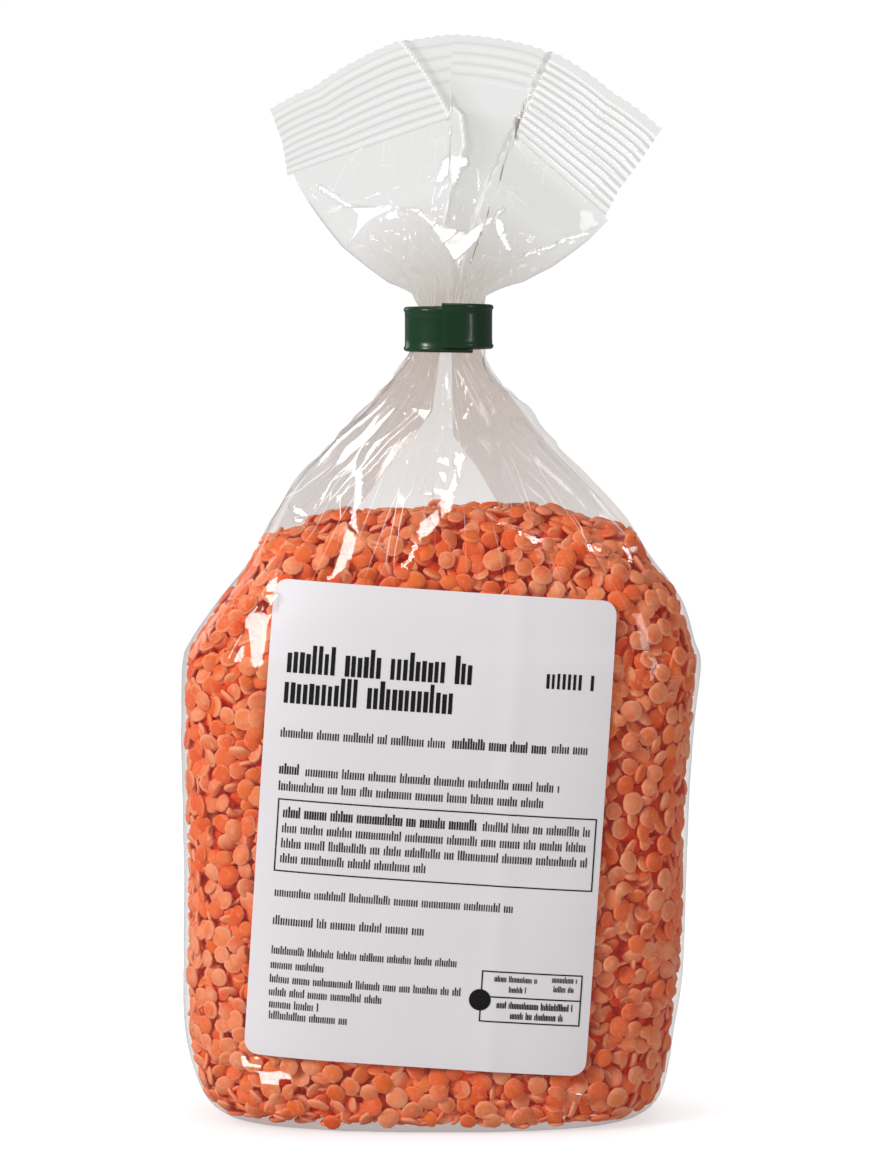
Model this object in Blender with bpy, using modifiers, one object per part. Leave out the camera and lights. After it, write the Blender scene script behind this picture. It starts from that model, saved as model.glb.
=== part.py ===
"""A clear gusseted bag of split red lentils, standing upright, with its neck gathered in a green clip band.

The bag is one solid from its flat base to the ribbed seal of its top. Sizes are in millimetres and become
metres where a mesh is made. +Z is up, -Y is the labelled front, and the origin is under the middle of the base.
"""

import math
import random

import bmesh
import bpy
import numpy as np
from mathutils import Vector, noise

MM = 0.001

# Round the bag: one material line of the film for each point, from the left side over the front to the right
LINES = 76

# Sections up the bag to the middle of its neck: height, reach to the left, reach to the right, half depth and
# squareness, where 2 is an ellipse and 3 a box with round corners
SECTIONS = (
    (0.0, 43.4, 40.4, 21.5, 2.5),
    (0.9, 46.9, 43.4, 23.6, 2.7),
    (3.5, 50.4, 46.8, 25.2, 2.9),
    (7.5, 52.7, 48.8, 26.2, 3.0),
    (14.0, 54.6, 50.2, 26.9, 3.1),
    (21.0, 55.6, 51.2, 27.3, 3.2),
    (34.0, 55.8, 52.8, 27.6, 3.2),
    (60.0, 55.8, 53.6, 27.9, 3.2),
    (86.0, 55.7, 54.7, 27.4, 3.3),
    (99.0, 55.7, 56.1, 26.5, 3.3),
    (103.6, 54.3, 55.0, 25.8, 3.2),
    (112.3, 48.7, 52.3, 24.1, 3.1),
    (121.0, 42.0, 46.5, 21.4, 3.0),
    (129.7, 37.6, 41.2, 18.2, 2.9),
    (138.4, 32.4, 33.0, 15.0, 2.8),
    (147.0, 24.3, 24.3, 11.8, 2.5),
    (155.7, 15.2, 17.0, 8.4, 2.2),
    (161.5, 9.0, 11.4, 6.4, 2.1),
    (166.4, 5.6, 9.0, 5.0, 2.0),
    (171.2, 4.9, 7.9, 4.5, 2.0),
)
BODY_TOP = 99.0  # the shoulders begin here
ROW_STEP_BODY = 3.7
ROW_STEP_SHOULDER = 5.2

# The lentils end in a low heap, highest a little right of the middle, which falls this far at this distance
HEAP_TOP, HEAP_X = 136.7, 6.0
HEAP_FALL, HEAP_REACH = 12.0, 50.0

# Creases of the film
PLEATS = 13
PLEAT_DEPTH = 1.3
PLEAT_DEPTH_AT_NECK = 0.3
TUCK_DEPTH = 3.4  # how far a side gusset folds in at the shoulders
TUCK_HALF_WIDTH = 6.0
LUMP_SIZE = 34.0
LUMP_HEIGHT = 0.7
LENTIL_BUMP = 0.35

# The fan above the neck, in polar terms about the middle of the neck
NECK_X, NECK_Z = 1.6, 171.2
FAN_START, FAN_EDGE = 7.0, 62.0
SEAL_START = 45.0
LEFT_ANGLES = (
    (7, 42), (10, 46), (16, 51.5), (22, 53.2), (29, 52.6), (38, 49.2), (45, 46.6), (54, 41.8), (62, 39.2),
)
RIGHT_ANGLES = (
    (7, 40), (10, 45), (14, 53), (19, 58.5), (26, 59.6), (36, 57.9), (44, 55.3), (50, 51), (56, 49), (62, 47),
)
PUFF = ((7, 4.6), (14, 7.2), (24, 8.6), (34, 6.6), (41, 2.4), (45, 0.5), (62, 0.5))
# Across the fan its edge goes from front to back and again: angle from upright, and place along Y at the edge
FAN_FOLDS = ((-60, 4.5), (-39, 3.0), (-10.6, -7.0), (3, 6.0), (16, -6.0), (47, 3.5), (60, 5.0))
# How far the cut edge stands past a true arc, by angle
CREST = (
    (-39, -1.2), (-29, -2.8), (-18, -1.4), (-11, -0.2), (1, 1.1), (17, 1.2), (25, 0.5), (35, -0.4), (47, 1.0),
)
SEAL_RIBS = 6
RIB_HEIGHT = 0.3
PUFF_ROWS = 9

# Label
LABEL_WIDTH, LABEL_HEIGHT, LABEL_CORNER = 70.5, 100.0, 3.0
LABEL_THICK = 0.3
LABEL_GAP = 0.35
LABEL_X, LABEL_Z, LABEL_TURN = -1.4, 66.5, -4.2
LABEL_CUTS_ACROSS, LABEL_CUTS_UP = 14, 20
LABEL_MARGIN = 5.0  # round the label the film has no lentil bumps

# Clip band, a flat strip with a wired bead along both edges
BAND_HEIGHT, BAND_THICK, BEAD_THICK = 9.6, 0.6, 1.3
BAND_HALF_WIDTH, BAND_HALF_DEPTH = 8.9, 6.5
BAND_X = 1.45
BAND_OVERLAP_STEP = 1.7
BAND_LEAN = 1.1
BAND_INNER_END, BAND_OUTER_END = 0.62, -0.13  # radians right of the front
BAND_POINTS = 48

# Moves all of it so that the origin is under the middle of its box, with the proud label counted
SHIFT = Vector((0.2, 0.34, 0.0))


def material(name, colour, roughness, metallic=0.0):
    made = bpy.data.materials.new(name)
    made.use_nodes = True
    shader = made.node_tree.nodes["Principled BSDF"]
    shader.inputs["Base Color"].default_value = (*colour, 1.0)
    shader.inputs["Roughness"].default_value = roughness
    shader.inputs["Metallic"].default_value = metallic
    return made


def in_metres(x, y, z):
    return (Vector((x, y, z)) + SHIFT) * MM


def smooth_step(low, high, value):
    """0 below low, 1 above high, and a smooth rise between."""
    share = np.clip((np.asarray(value, float) - low) / (high - low), 0.0, 1.0)
    return share * share * (3.0 - 2.0 * share)


def through(knots, value):
    """Reads a curve given by (place, amount) pairs."""
    places, amounts = zip(*knots)
    return np.interp(value, places, amounts)


def section_at(place):
    """The section at a place counted in SECTIONS, on a smooth curve through all of them."""
    table = np.array(SECTIONS)
    last = len(table) - 1
    index = min(int(place), last - 1)
    share = place - index
    before, start = table[max(index - 1, 0)], table[index]
    end, after = table[index + 1], table[min(index + 2, last)]
    bend = 2 * before - 5 * start + 4 * end - after
    twist = -before + 3 * start - 3 * end + after
    return 0.5 * (2 * start + (end - before) * share + bend * share**2 + twist * share**3)


def rows_up_the_bag():
    """Places of the rows: finer over the lentils than over the shoulders, and at equal steps along the film."""
    places = np.linspace(0, len(SECTIONS) - 1, 1801)
    table = np.array([section_at(p) for p in places])
    outline = table[:, [0, 3]]
    steps = np.hypot(*np.diff(outline, axis=0).T)
    wanted = np.where(table[1:, 0] < BODY_TOP, ROW_STEP_BODY, ROW_STEP_SHOULDER)
    run = np.concatenate([[0.0], np.cumsum(steps / wanted)])
    count = round(run[-1])
    return np.interp(np.linspace(0, run[-1], count + 1), run, places)


def evenly_round(points, count):
    """The same closed line with its points at equal steps, starting where it starts."""
    closed = np.vstack([points, points[:1]])
    run = np.concatenate([[0.0], np.cumsum(np.hypot(*np.diff(closed, axis=0).T))])
    wanted = np.linspace(0, run[-1], count, endpoint=False)
    return np.stack([np.interp(wanted, run, closed[:, axis]) for axis in (0, 1)], axis=1)


def section_line(section, count=LINES):
    """Points round one section: left side first, then the front, the right side and the back."""
    _, left, right, depth, squareness = section
    turn = np.linspace(0, 2 * math.pi, 720, endpoint=False)
    across, back = -np.cos(turn), -np.sin(turn)
    reach = np.where(across < 0, left, right)
    power = 2.0 / squareness
    outline = np.stack(
        [
            reach * np.sign(across) * np.abs(across) ** power,
            depth * np.sign(back) * np.abs(back) ** power,
        ],
        axis=1,
    )
    return evenly_round(outline, count)


def outward(line):
    """Unit normals of a closed line that runs this way round."""
    along = np.roll(line, -1, axis=0) - np.roll(line, 1, axis=0)
    normal = np.stack([along[:, 1], -along[:, 0]], axis=1)
    return normal / np.linalg.norm(normal, axis=1, keepdims=True)


def label_place(x, z):
    """Distances along and up the label, from its middle, of a point on the front."""
    turn = math.radians(LABEL_TURN)
    x, z = x - LABEL_X, z - LABEL_Z
    return x * math.cos(turn) + z * math.sin(turn), -x * math.sin(turn) + z * math.cos(turn)


def under_label(x, y, z):
    across, up = label_place(x, z)
    beside = abs(across) < LABEL_WIDTH / 2 + LABEL_MARGIN
    return y < 0 and beside and abs(up) < LABEL_HEIGHT / 2 + LABEL_MARGIN


def lump(x, y, z):
    """The slight unevenness of a bag that was filled and dropped on its base."""
    size = LUMP_HEIGHT * float(smooth_step(4.0, 20.0, z) * (1 - smooth_step(95.0, 120.0, z)))
    return size * noise.noise(Vector((x, y, z)) / LUMP_SIZE)


def bag_row(place, draw):
    """One ring of the bag between its base and the middle of its neck."""
    section = section_at(place)
    height = float(section[0])
    line = section_line(section)
    normal = outward(line)
    gathered = float(smooth_step(BODY_TOP + 6, 150.0, height))
    turn = np.arange(LINES) / LINES * 2 * math.pi
    fold = np.abs(((turn * PLEATS / (2 * math.pi)) % 1.0) * 2 - 1) * 2 - 1
    squeezed = float(smooth_step(148.0, 163.0, height))
    depth = PLEAT_DEPTH + (PLEAT_DEPTH_AT_NECK - PLEAT_DEPTH) * squeezed
    push = depth * gathered * fold
    tucked = smooth_step(BODY_TOP - 6, 122.0, height) * (1 - smooth_step(136.0, 160.0, height))
    push -= TUCK_DEPTH * tucked * np.exp(-((line[:, 1] / TUCK_HALF_WIDTH) ** 2)) * (np.abs(line[:, 0]) > 5)
    row = []
    for (x, y), (nx, ny), out in zip(line, normal, push):
        out += lump(x, y, height)
        bump = draw.uniform(-LENTIL_BUMP, LENTIL_BUMP)
        if 6.0 < height < 116.0 and not under_label(x, y, height):
            out += bump
        row.append((x + nx * out, y + ny * out, height))
    return row


def fan_point(share, radius, side):
    """A point of the fan. share runs from its left edge, 0, to its right, 1, and side is -1 for the front film."""
    left, right = through(LEFT_ANGLES, radius), through(RIGHT_ANGLES, radius)
    angle = -left + share * (left + right)
    up = (radius - FAN_START) / (FAN_EDGE - FAN_START)
    reach = radius + through(CREST, angle) * up
    puff = through(PUFF, radius) * (1 - abs(2 * share - 1) ** 2.6) ** 0.5
    fold = through(FAN_FOLDS, angle) * (radius / FAN_EDGE) ** 1.2
    turn = math.radians(angle)
    return (NECK_X + reach * math.sin(turn), fold + side * puff, NECK_Z + reach * math.cos(turn))


def fan_row(radius, rib):
    """One ring of the fan: front film from left to right, then back film from right to left."""
    half = LINES // 2
    row = []
    for index in range(LINES):
        side = -1 if index < half else 1
        share = index / half if index < half else 2 - index / half
        x, y, z = fan_point(share, radius, side)
        row.append((x, y - rib, z))
    return row


def neck_to_fan(neck, fan, share):
    """Rows between the flat ring of the neck and the curved rings of the fan."""
    return [tuple(np.array(a) * (1 - share) + np.array(b) * share) for a, b in zip(neck, fan)]


def bag_rows():
    draw = random.Random(11)
    rows = [bag_row(place, draw) for place in rows_up_the_bag()]
    neck = rows[-1]
    rows.append(neck_to_fan([(x, y, z + 3.0) for x, y, z in neck], fan_row(FAN_START, 0.0), 0.45))
    for radius in np.linspace(FAN_START + 2, SEAL_START, PUFF_ROWS + 1)[:-1]:
        rows.append(fan_row(radius, 0.0))
    seal_rows = 2 * SEAL_RIBS
    for step in range(seal_rows + 1):
        radius = SEAL_START + (FAN_EDGE - SEAL_START) * step / seal_rows
        rows.append(fan_row(radius, RIB_HEIGHT * (-1) ** step))
    return rows


def mesh_object(name, mesh, *materials):
    made = bpy.data.objects.new(name, mesh)
    for one in materials:
        mesh.materials.append(one)
    return made


def bag_solid(lentils, film):
    """The loft of all rings, shut by the flat base and along the top seal."""
    rows = bag_rows()
    shape = bmesh.new()
    rings = [[shape.verts.new(in_metres(x, y, z)) for x, y, z in row] for row in rows]
    for lower, upper in zip(rings, rings[1:]):
        for i in range(LINES):
            j = (i + 1) % LINES
            face = shape.faces.new((lower[i], lower[j], upper[j], upper[i]))
            middle = face.calc_center_median() / MM - SHIFT
            face.material_index = int(middle.z > heap_height(middle.x))
            face.smooth = middle.z > BODY_TOP
    shape.faces.new(list(reversed(rings[0])))
    top = rings[-1]
    for i in range(LINES // 2):
        front, back = (top[i], top[i + 1]), (top[-i - 1], top[-i])
        corners = dict.fromkeys((*front, *back))
        shape.faces.new(list(corners)).material_index = 1
    bmesh.ops.recalc_face_normals(shape, faces=shape.faces)
    bmesh.ops.triangulate(shape, faces=shape.faces)
    mesh = bpy.data.meshes.new("bag")
    shape.to_mesh(mesh)
    shape.free()
    return mesh_object("bag", mesh, lentils, film)


def heap_height(x):
    """Where the lentils end and the empty film begins, higher in the middle."""
    return HEAP_TOP - HEAP_FALL * ((x - HEAP_X) / HEAP_REACH) ** 2


def front_of_bag(x, z):
    """The film's place along Y at the front of the bag, at the middle of its thickness, with no bumps."""
    heights = [row[0] for row in SECTIONS]
    place = float(np.interp(z, heights, range(len(SECTIONS))))
    for _ in range(6):  # settle on the place whose height is z
        place += float(np.clip((z - section_at(place)[0]) / 8.0, -0.4, 0.4))
        place = min(max(place, 0.0), len(SECTIONS) - 1.0)
    _, left, right, depth, squareness = section_at(place)
    share = min(abs(x) / (left if x < 0 else right), 1.0)
    y = -depth * (1 - share**squareness) ** (1 / squareness)
    return y - max(lump(x, y, z), 0.0)


def label_outline():
    """The label's rectangle with round corners, as points about its middle."""
    points = []
    for corner, (sx, sz) in enumerate(((1, 1), (-1, 1), (-1, -1), (1, -1))):
        cx = sx * (LABEL_WIDTH / 2 - LABEL_CORNER)
        cz = sz * (LABEL_HEIGHT / 2 - LABEL_CORNER)
        for step in range(6):
            turn = math.pi / 2 * (corner + step / 5)
            points.append((cx + LABEL_CORNER * math.cos(turn), cz + LABEL_CORNER * math.sin(turn)))
    return points


def label_solid(paper):
    """A flat outline cut into small faces, laid on the front of the bag and given its thickness."""
    shape = bmesh.new()
    shape.faces.new([shape.verts.new((x, 0.0, z)) for x, z in label_outline()])
    for axis, size, cuts in ((0, LABEL_WIDTH, LABEL_CUTS_ACROSS), (2, LABEL_HEIGHT, LABEL_CUTS_UP)):
        direction = Vector((axis == 0, 0, axis == 2))
        for step in range(1, cuts):
            place = direction * (size * (step / cuts - 0.5))
            everything = list(shape.verts) + list(shape.edges) + list(shape.faces)
            bmesh.ops.bisect_plane(shape, geom=everything, plane_co=place, plane_no=direction)
    bmesh.ops.triangulate(shape, faces=shape.faces)
    turn = math.radians(LABEL_TURN)
    for vertex in shape.verts:
        across, up = vertex.co.x, vertex.co.z
        x = LABEL_X + across * math.cos(turn) - up * math.sin(turn)
        z = LABEL_Z + across * math.sin(turn) + up * math.cos(turn)
        vertex.co = in_metres(x, front_of_bag(x, z) - LABEL_GAP, z)
    bmesh.ops.recalc_face_normals(shape, faces=shape.faces)
    if sum(face.normal.y for face in shape.faces) > 0:
        bmesh.ops.reverse_faces(shape, faces=shape.faces)
    mesh = bpy.data.meshes.new("label")
    shape.to_mesh(mesh)
    shape.free()
    label = mesh_object("label", mesh, paper)
    wall = label.modifiers.new("paper thickness", "SOLIDIFY")
    wall.thickness = LABEL_THICK * MM
    wall.offset = 1.0
    return label


def band_profile():
    """Across the strip: a thin web between two round beads, as (out, up) points."""
    half, web = BAND_HEIGHT / 2, BAND_THICK / 2
    radius = BEAD_THICK / 2
    middle = half - radius
    points = []
    for sign in (1, -1):
        points.append((web * sign, (middle - radius) * sign))
        for step in range(5):
            turn = math.pi * step / 4
            points.append((radius * math.cos(turn) * sign, (middle + radius * math.sin(turn)) * sign))
        points.append((-web * sign, (middle - radius) * sign))
    return points


def band_path():
    """Once round the neck from the inner end, over the left side and the back, to the end that lies on top."""
    whole = 2 * math.pi + BAND_INNER_END - BAND_OUTER_END
    points = []
    for step in range(BAND_POINTS):
        share = step / (BAND_POINTS - 1)
        turn = BAND_INNER_END - share * whole
        wide = BAND_OVERLAP_STEP * float(smooth_step(0.62, 0.88, share))
        x = (BAND_HALF_WIDTH + wide * 0.4) * math.sin(turn)
        y = -(BAND_HALF_DEPTH + wide) * math.cos(turn)
        points.append(Vector((BAND_X + x, y, NECK_Z - BAND_LEAN / 2 + BAND_LEAN * share)))
    return points


def band_solid(plastic):
    """The strip's profile carried along its path."""
    path = band_path()
    shape = bmesh.new()
    rings = []
    for index, point in enumerate(path):
        before, after = path[max(index - 1, 0)], path[min(index + 1, len(path) - 1)]
        along = after - before
        out = Vector((-along.y, along.x, 0)).normalized()
        ring = [point + out * a + Vector((0, 0, b)) for a, b in band_profile()]
        rings.append([shape.verts.new(in_metres(*p)) for p in ring])
    for first, second in zip(rings, rings[1:]):
        for i in range(len(first)):
            j = (i + 1) % len(first)
            shape.faces.new((first[i], first[j], second[j], second[i]))
    for end in (rings[0], rings[-1]):
        shape.faces.new(end)
    bmesh.ops.recalc_face_normals(shape, faces=shape.faces)
    bmesh.ops.triangulate(shape, faces=shape.faces)
    mesh = bpy.data.meshes.new("clip_band")
    shape.to_mesh(mesh)
    shape.free()
    mesh.shade_smooth()
    mesh.set_sharp_from_angle(angle=math.radians(40))
    return mesh_object("clip_band", mesh, plastic)


def main():
    for old in list(bpy.data.objects):
        bpy.data.objects.remove(old)
    pieces = (
        bag_solid(
            material("lentils", (0.62, 0.16, 0.06), 0.6),
            material("clear_film", (0.80, 0.80, 0.79), 0.12),
        ),
        label_solid(material("label_paper", (0.78, 0.75, 0.77), 0.5)),
        band_solid(material("green_plastic", (0.02, 0.07, 0.03), 0.3)),
    )
    home = bpy.data.collections.new("bag_of_lentils")
    bpy.context.scene.collection.children.link(home)
    for piece in pieces:
        home.objects.link(piece)


main()
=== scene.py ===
"""The look of a clear film bag of split red lentils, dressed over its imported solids.

The film, the lentils, the label and the clip band are made here in millimetres and turned to metres where a
mesh is made. They follow the same named sizes as the solids, so every piece lies where its solid lies.
"""

import math
import random

import bmesh
import bpy
import numpy as np
from mathutils import Matrix, Vector, noise


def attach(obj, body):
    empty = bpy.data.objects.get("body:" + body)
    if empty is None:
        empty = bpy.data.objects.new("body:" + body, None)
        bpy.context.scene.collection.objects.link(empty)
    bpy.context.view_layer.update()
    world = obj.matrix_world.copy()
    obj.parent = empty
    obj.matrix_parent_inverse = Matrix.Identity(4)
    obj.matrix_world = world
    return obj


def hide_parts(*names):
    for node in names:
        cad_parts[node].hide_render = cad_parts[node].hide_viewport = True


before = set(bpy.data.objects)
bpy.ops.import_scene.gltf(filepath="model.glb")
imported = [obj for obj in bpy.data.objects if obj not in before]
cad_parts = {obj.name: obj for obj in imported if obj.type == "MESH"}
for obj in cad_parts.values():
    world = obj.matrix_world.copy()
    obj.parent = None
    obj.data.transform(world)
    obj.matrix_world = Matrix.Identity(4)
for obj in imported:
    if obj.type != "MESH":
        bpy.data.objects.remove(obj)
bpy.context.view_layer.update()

MM = 0.001
SHIFT = Vector((0.2, 0.34, 0.0))  # the solids are moved by this so that their box is centred

# Sections up the bag to the middle of its neck: height, reach to the left and to the right, half depth and
# squareness, where 2 is an ellipse and 3 a box with round corners
SECTIONS = np.array((
    (0.0, 43.4, 40.4, 21.5, 2.5),
    (0.9, 46.9, 43.4, 23.6, 2.7),
    (3.5, 50.4, 46.8, 25.2, 2.9),
    (7.5, 52.7, 48.8, 26.2, 3.0),
    (14.0, 54.6, 50.2, 26.9, 3.1),
    (21.0, 55.6, 51.2, 27.3, 3.2),
    (34.0, 55.8, 52.8, 27.6, 3.2),
    (60.0, 55.8, 53.6, 27.9, 3.2),
    (86.0, 55.7, 54.7, 27.4, 3.3),
    (99.0, 55.7, 56.1, 26.5, 3.3),
    (103.6, 54.3, 55.0, 25.8, 3.2),
    (112.3, 48.7, 52.3, 24.1, 3.1),
    (121.0, 42.0, 46.5, 21.4, 3.0),
    (129.7, 37.6, 41.2, 18.2, 2.9),
    (138.4, 32.4, 33.0, 15.0, 2.8),
    (147.0, 24.3, 24.3, 11.8, 2.5),
    (155.7, 15.2, 17.0, 8.4, 2.2),
    (161.5, 10.4, 11.8, 6.4, 2.1),
    (166.4, 7.2, 9.2, 5.0, 2.0),
    (171.2, 5.4, 7.9, 4.5, 2.0),
))
LUMP_SIZE, LUMP_HEIGHT = 34.0, 0.7
LUMP_RISE, LUMP_FADE = (4.0, 20.0), (95.0, 120.0)

# The film of the body and the shoulders
FILM_COLUMNS, FILM_ROWS = 400, 230
SHOULDER_HEIGHT, TIGHT_SHARE = 97.0, 0.36  # the share of the rows that lie below the shoulders
FILM_OFF = 0.12
# Folds that gather the film: how many go round, the heights where they start and are full, their depth and
# the place of the first one
GATHERS = ((11, 106.0, 146.0, 3.0, 0.30), (23, 134.0, 160.0, 1.2, 0.65), (47, 150.0, 167.0, 0.7, 0.10))
# Crumple of the film: its size, its facets round the bag and how tall they are, their seed, and the heights
# between which it comes and then goes
LOOSE_RISE, LOOSE_FADE = (108.0, 128.0), (158.0, 166.0)
BODY_CRUMPLES = (
    (1.7, 13, 19, 1.3, LOOSE_RISE, LOOSE_FADE),
    (0.5, 37, 7, 4.1, LOOSE_RISE, LOOSE_FADE),
    (2.1, 15, 3.8, 9.3, (138.0, 152.0), (166.5, 169.5)),
    (0.16, 60, 6, 2.2, (-2.0, -1.0), (100.0, 118.0)),
)

# Flat dents in the front film, by their corners (x, z): the rim they fade in, the steps that a dent's plane
# is cut into so that it keeps to the film, and how far each dent is grown
DENT_RIM = 0.3
DENT_STEP, DENT_IN = 2.8, 0.2
BODY_DENT_GROWTH, FAN_DENT_GROWTH = 0.45, 0.36
BODY_DENTS = (
    ((-18.7, 140.6), (-16.6, 140.6), (-16.3, 134.4), (-17.4, 132.9), (-17.5, 127.7), (-18.9, 122.3),
     (-22.3, 118.2), (-23.6, 118.2), (-22.0, 123.8), (-21.0, 127.7), (-19.5, 130.4), (-18.8, 132.9)),
    ((3.0, 145.3), (5.3, 144.0), (3.8, 139.0), (3.0, 137.1), (2.7, 132.9), (-1.4, 128.9), (-3.8, 126.3),
     (-7.1, 120.4), (-8.3, 120.4), (-6.4, 125.6), (-4.4, 130.4), (-1.7, 132.9), (0.0, 135.6), (-3.8, 136.0),
     (-4.0, 137.1), (1.0, 136.9), (1.9, 138.3), (2.7, 141.7)),
    ((-41.9, 109.2), (-39.6, 112.6), (-37.5, 107.8), (-36.4, 106.1), (-37.0, 100.3), (-38.7, 99.1),
     (-40.6, 100.8), (-40.6, 104.5)),
    ((-37.5, 117.1), (-33.8, 119.6), (-34.6, 115.1), (-35.8, 111.7), (-37.5, 115.5)),
    ((12.1, 130.1), (15.5, 128.7), (21.8, 127.1), (20.5, 124.4), (19.3, 126.0), (16.5, 127.7)),
    ((30.3, 125.6), (35.2, 124.8), (34.5, 123.5), (31.0, 124.0)),
    ((38.8, 125.3), (42.4, 124.6), (40.6, 120.9), (39.0, 122.3)),
    ((-32.0, 134.0), (-30.1, 133.0), (-28.0, 131.6), (-28.6, 129.6), (-31.0, 130.2)),
    ((-6.8, 154.0), (-1.8, 154.0), (-3.6, 151.2)),
    ((-45.7, 18.8), (-29.4, 12.9), (-37.6, 10.3)),
    ((27.0, 11.4), (31.0, 9.9), (28.6, 7.9)),
    ((39.6, 13.8), (43.0, 11.7), (41.0, 10.2)),
)
# Thin creases in the film: start, end, height and half width
BODY_CREASES = (
    ((7.0, 155.0), (24.5, 132.0), 0.45, 0.8),
    ((8.0, 152.0), (29.0, 136.5), 0.5, 0.9),
    ((9.5, 158.0), (37.5, 133.6), 0.45, 0.9),
    ((12.5, 148.0), (40.0, 118.0), 0.4, 0.8),
    ((3.0, 158.0), (5.5, 131.0), 0.35, 0.7),
    ((-3.0, 154.0), (-17.0, 134.0), 0.5, 0.9),
    ((-7.0, 158.0), (-31.0, 131.0), 0.5, 1.0),
    ((-9.0, 157.0), (-37.0, 121.0), 0.45, 0.9),
    ((-12.0, 143.0), (-22.0, 138.5), 0.4, 0.8),
    ((-47.0, 98.0), (-34.0, 121.0), 0.4, 0.8),
    ((51.0, 40.0), (42.5, 30.0), 0.4, 0.8),
)
DENT_DEPTH = 15.0  # how far in front of the bag's middle a dent's slope is worked out

# The gusset's tucks in the headspace: name, side, where SECTIONS hold the reach to that side, and the place
# of the inner fold along X by height
TUCK_BOTTOM, TUCK_TOP, TUCK_ROWS, TUCK_COLUMNS = 117.0, 170.5, 90, 30
TUCKS = (
    ("film_tuck_left", -1, 1, ((117, -31.0), (122, -26.6), (134, -16.8), (153, -1.9), (171, 0.6))),
    ("film_tuck_right", 1, 2, ((117, 21.0), (128, 14.6), (133, 12.5), (141, 7.9), (148, 2.6), (171, 2.2))),
)
TUCK_WALL = 0.06
TUCK_REACH, TUCK_DEPTH = 0.92, 0.5  # shares of the bag's reach and depth

# The heap of lentils: its top, where that lies along X, and how far it has fallen at a reach to the sides and
# at one to the front and the back
HEAP_TOP, HEAP_X, HEAP_FALL, HEAP_REACH = 136.0, 3.5, 12.5, 50.0
HEAP_FALL_ACROSS, HEAP_REACH_ACROSS = 9.0, 20.0
HEAP_COLUMNS, HEAP_ROWS, HEAP_LIMIT = 150, 115, 150.0
LENTIL_GAP = 0.25  # between the film and the outermost lentils
LENTIL_RADIUS, LENTIL_THICK, WHOLE_THICK = 2.2, 0.9, 1.9
CORE_DEPTH = 4.2

# The fan above the neck, in polar terms about the middle of the neck
NECK_X, NECK_Z = 1.6, 171.2
FAN_COLUMNS, FAN_ROWS = 360, 250
FAN_START, FAN_EDGE, SEAL_START = 7.0, 62.0, 45.0
# The fan's sides, as angles from straight up by radius, and how far its upper edge stands out by angle
LEFT_ANGLES = (
    (7, 58), (8.3, 53), (10.8, 46.5), (16, 53), (22, 53.2), (29, 52.6), (38, 49.2), (45, 46.6), (54, 41.8),
    (62, 39.2),
)
RIGHT_ANGLES = (
    (7, 66), (9.3, 57), (10.6, 49.5), (14, 53), (19, 58.5), (26, 59.6), (36, 57.9), (44, 55.3), (50, 51),
    (56, 49), (62, 47),
)
CREST = (
    (-39, -1.2), (-29, -2.8), (-18, -1.4), (-11, -0.2), (1, 1.1), (17, 1.2), (25, 0.5), (35, -0.4),
    (47, 1.0),
)
# Half the space between its two films, by radius
PUFF = ((7, 4.6), (14, 7.2), (24, 8.6), (34, 6.6), (41, 2.4), (45, 0.25), (62, 0.2))
FAN_PLEATS, FAN_SQUARENESS = 17, 4.0
PLEAT_RANGES = ((0.02, 0.98), (16, 34), (0.4, 1.3))  # place round the fan, radius where it ends, depth
PLEAT_WIDTH, PLEAT_FADE = 0.035, 12
SEAL_ROW_SHARE = 0.55  # of the rows, those below the seal
# The seal's lower edge is straight in the outer panels: its distance from the neck, its turn, and the angles
# between which it holds
SEAL_EDGES = ((42.1, -18.2, -70.0, 0.6), (40.3, 39.9, 19.0, 80.0))
SEAL_MIDDLE = 47.5
# Ribs of the seal by panel: its first angle by radius, how many, their height, how dark the painted shade at
# their feet and how white the painted highlight on their backs, and the share of the seal below the first one
RIBS = (
    (((45, -70), (62, -70)), 10, 0.03, 0.55, 0.10, 0.0),
    (((45, 0.8), (62, -9.5)), 7, 0.02, 0.35, 0.10, 0.35),
    (((45, 19.3), (62, 20.9)), 13, 0.09, 0.75, 0.75, 0.0),
)
# The white line on the left crease is partly painted highlight and partly the film whitened there; the shade
# beside it is painted shade
CREASE_HALF, CREASE_WHITE = 0.5, 0.8  # the white line on the left crease
PAINTED_FOLD_SHADE_REACH, PAINTED_FOLD_SHADE = 7.5, 0.95  # the shade beside it: how far it goes and how dark it is
# How dark the painted shade is low on the fan's right, below the seal
PAINTED_RIGHT_SHADE = 0.6
TEETH, TOOTH = 84, 0.45  # small teeth of the upper edge
FAN_DENTS = (
    ((-1.3, 202.4), (0.3, 206.8), (2.1, 208.1), (5.5, 207.3), (5.8, 206.2), (4.4, 205.0), (2.9, 201.6),
     (1.5, 203.9), (-0.2, 201.6)),
    ((-8.5, 196.5), (-4.8, 196.6), (-2.5, 194.6), (0.3, 192.9), (5.5, 191.3), (8.9, 193.7), (13.2, 196.7),
     (13.5, 196.3), (8.9, 192.3), (7.7, 190.1), (5.5, 187.3), (3.8, 184.3), (2.3, 186.3), (-0.2, 190.4),
     (-3.1, 193.8), (-5.4, 195.7)),
    ((-28.3, 203.5), (-24.0, 200.6), (-18.2, 197.2), (-10.7, 196.6), (-15.3, 194.3), (-19.7, 189.1),
     (-18.2, 193.1), (-17.6, 195.4), (-24.0, 199.5), (-27.2, 201.8)),
    ((11.2, 196.0), (13.3, 193.2), (15.6, 186.0), (13.4, 188.7), (11.6, 191.7)),
    ((15.2, 186.2), (19.8, 187.6), (24.4, 189.4), (27.3, 191.0), (27.4, 190.3), (24.4, 188.5),
     (19.8, 186.9)),
)
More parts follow.
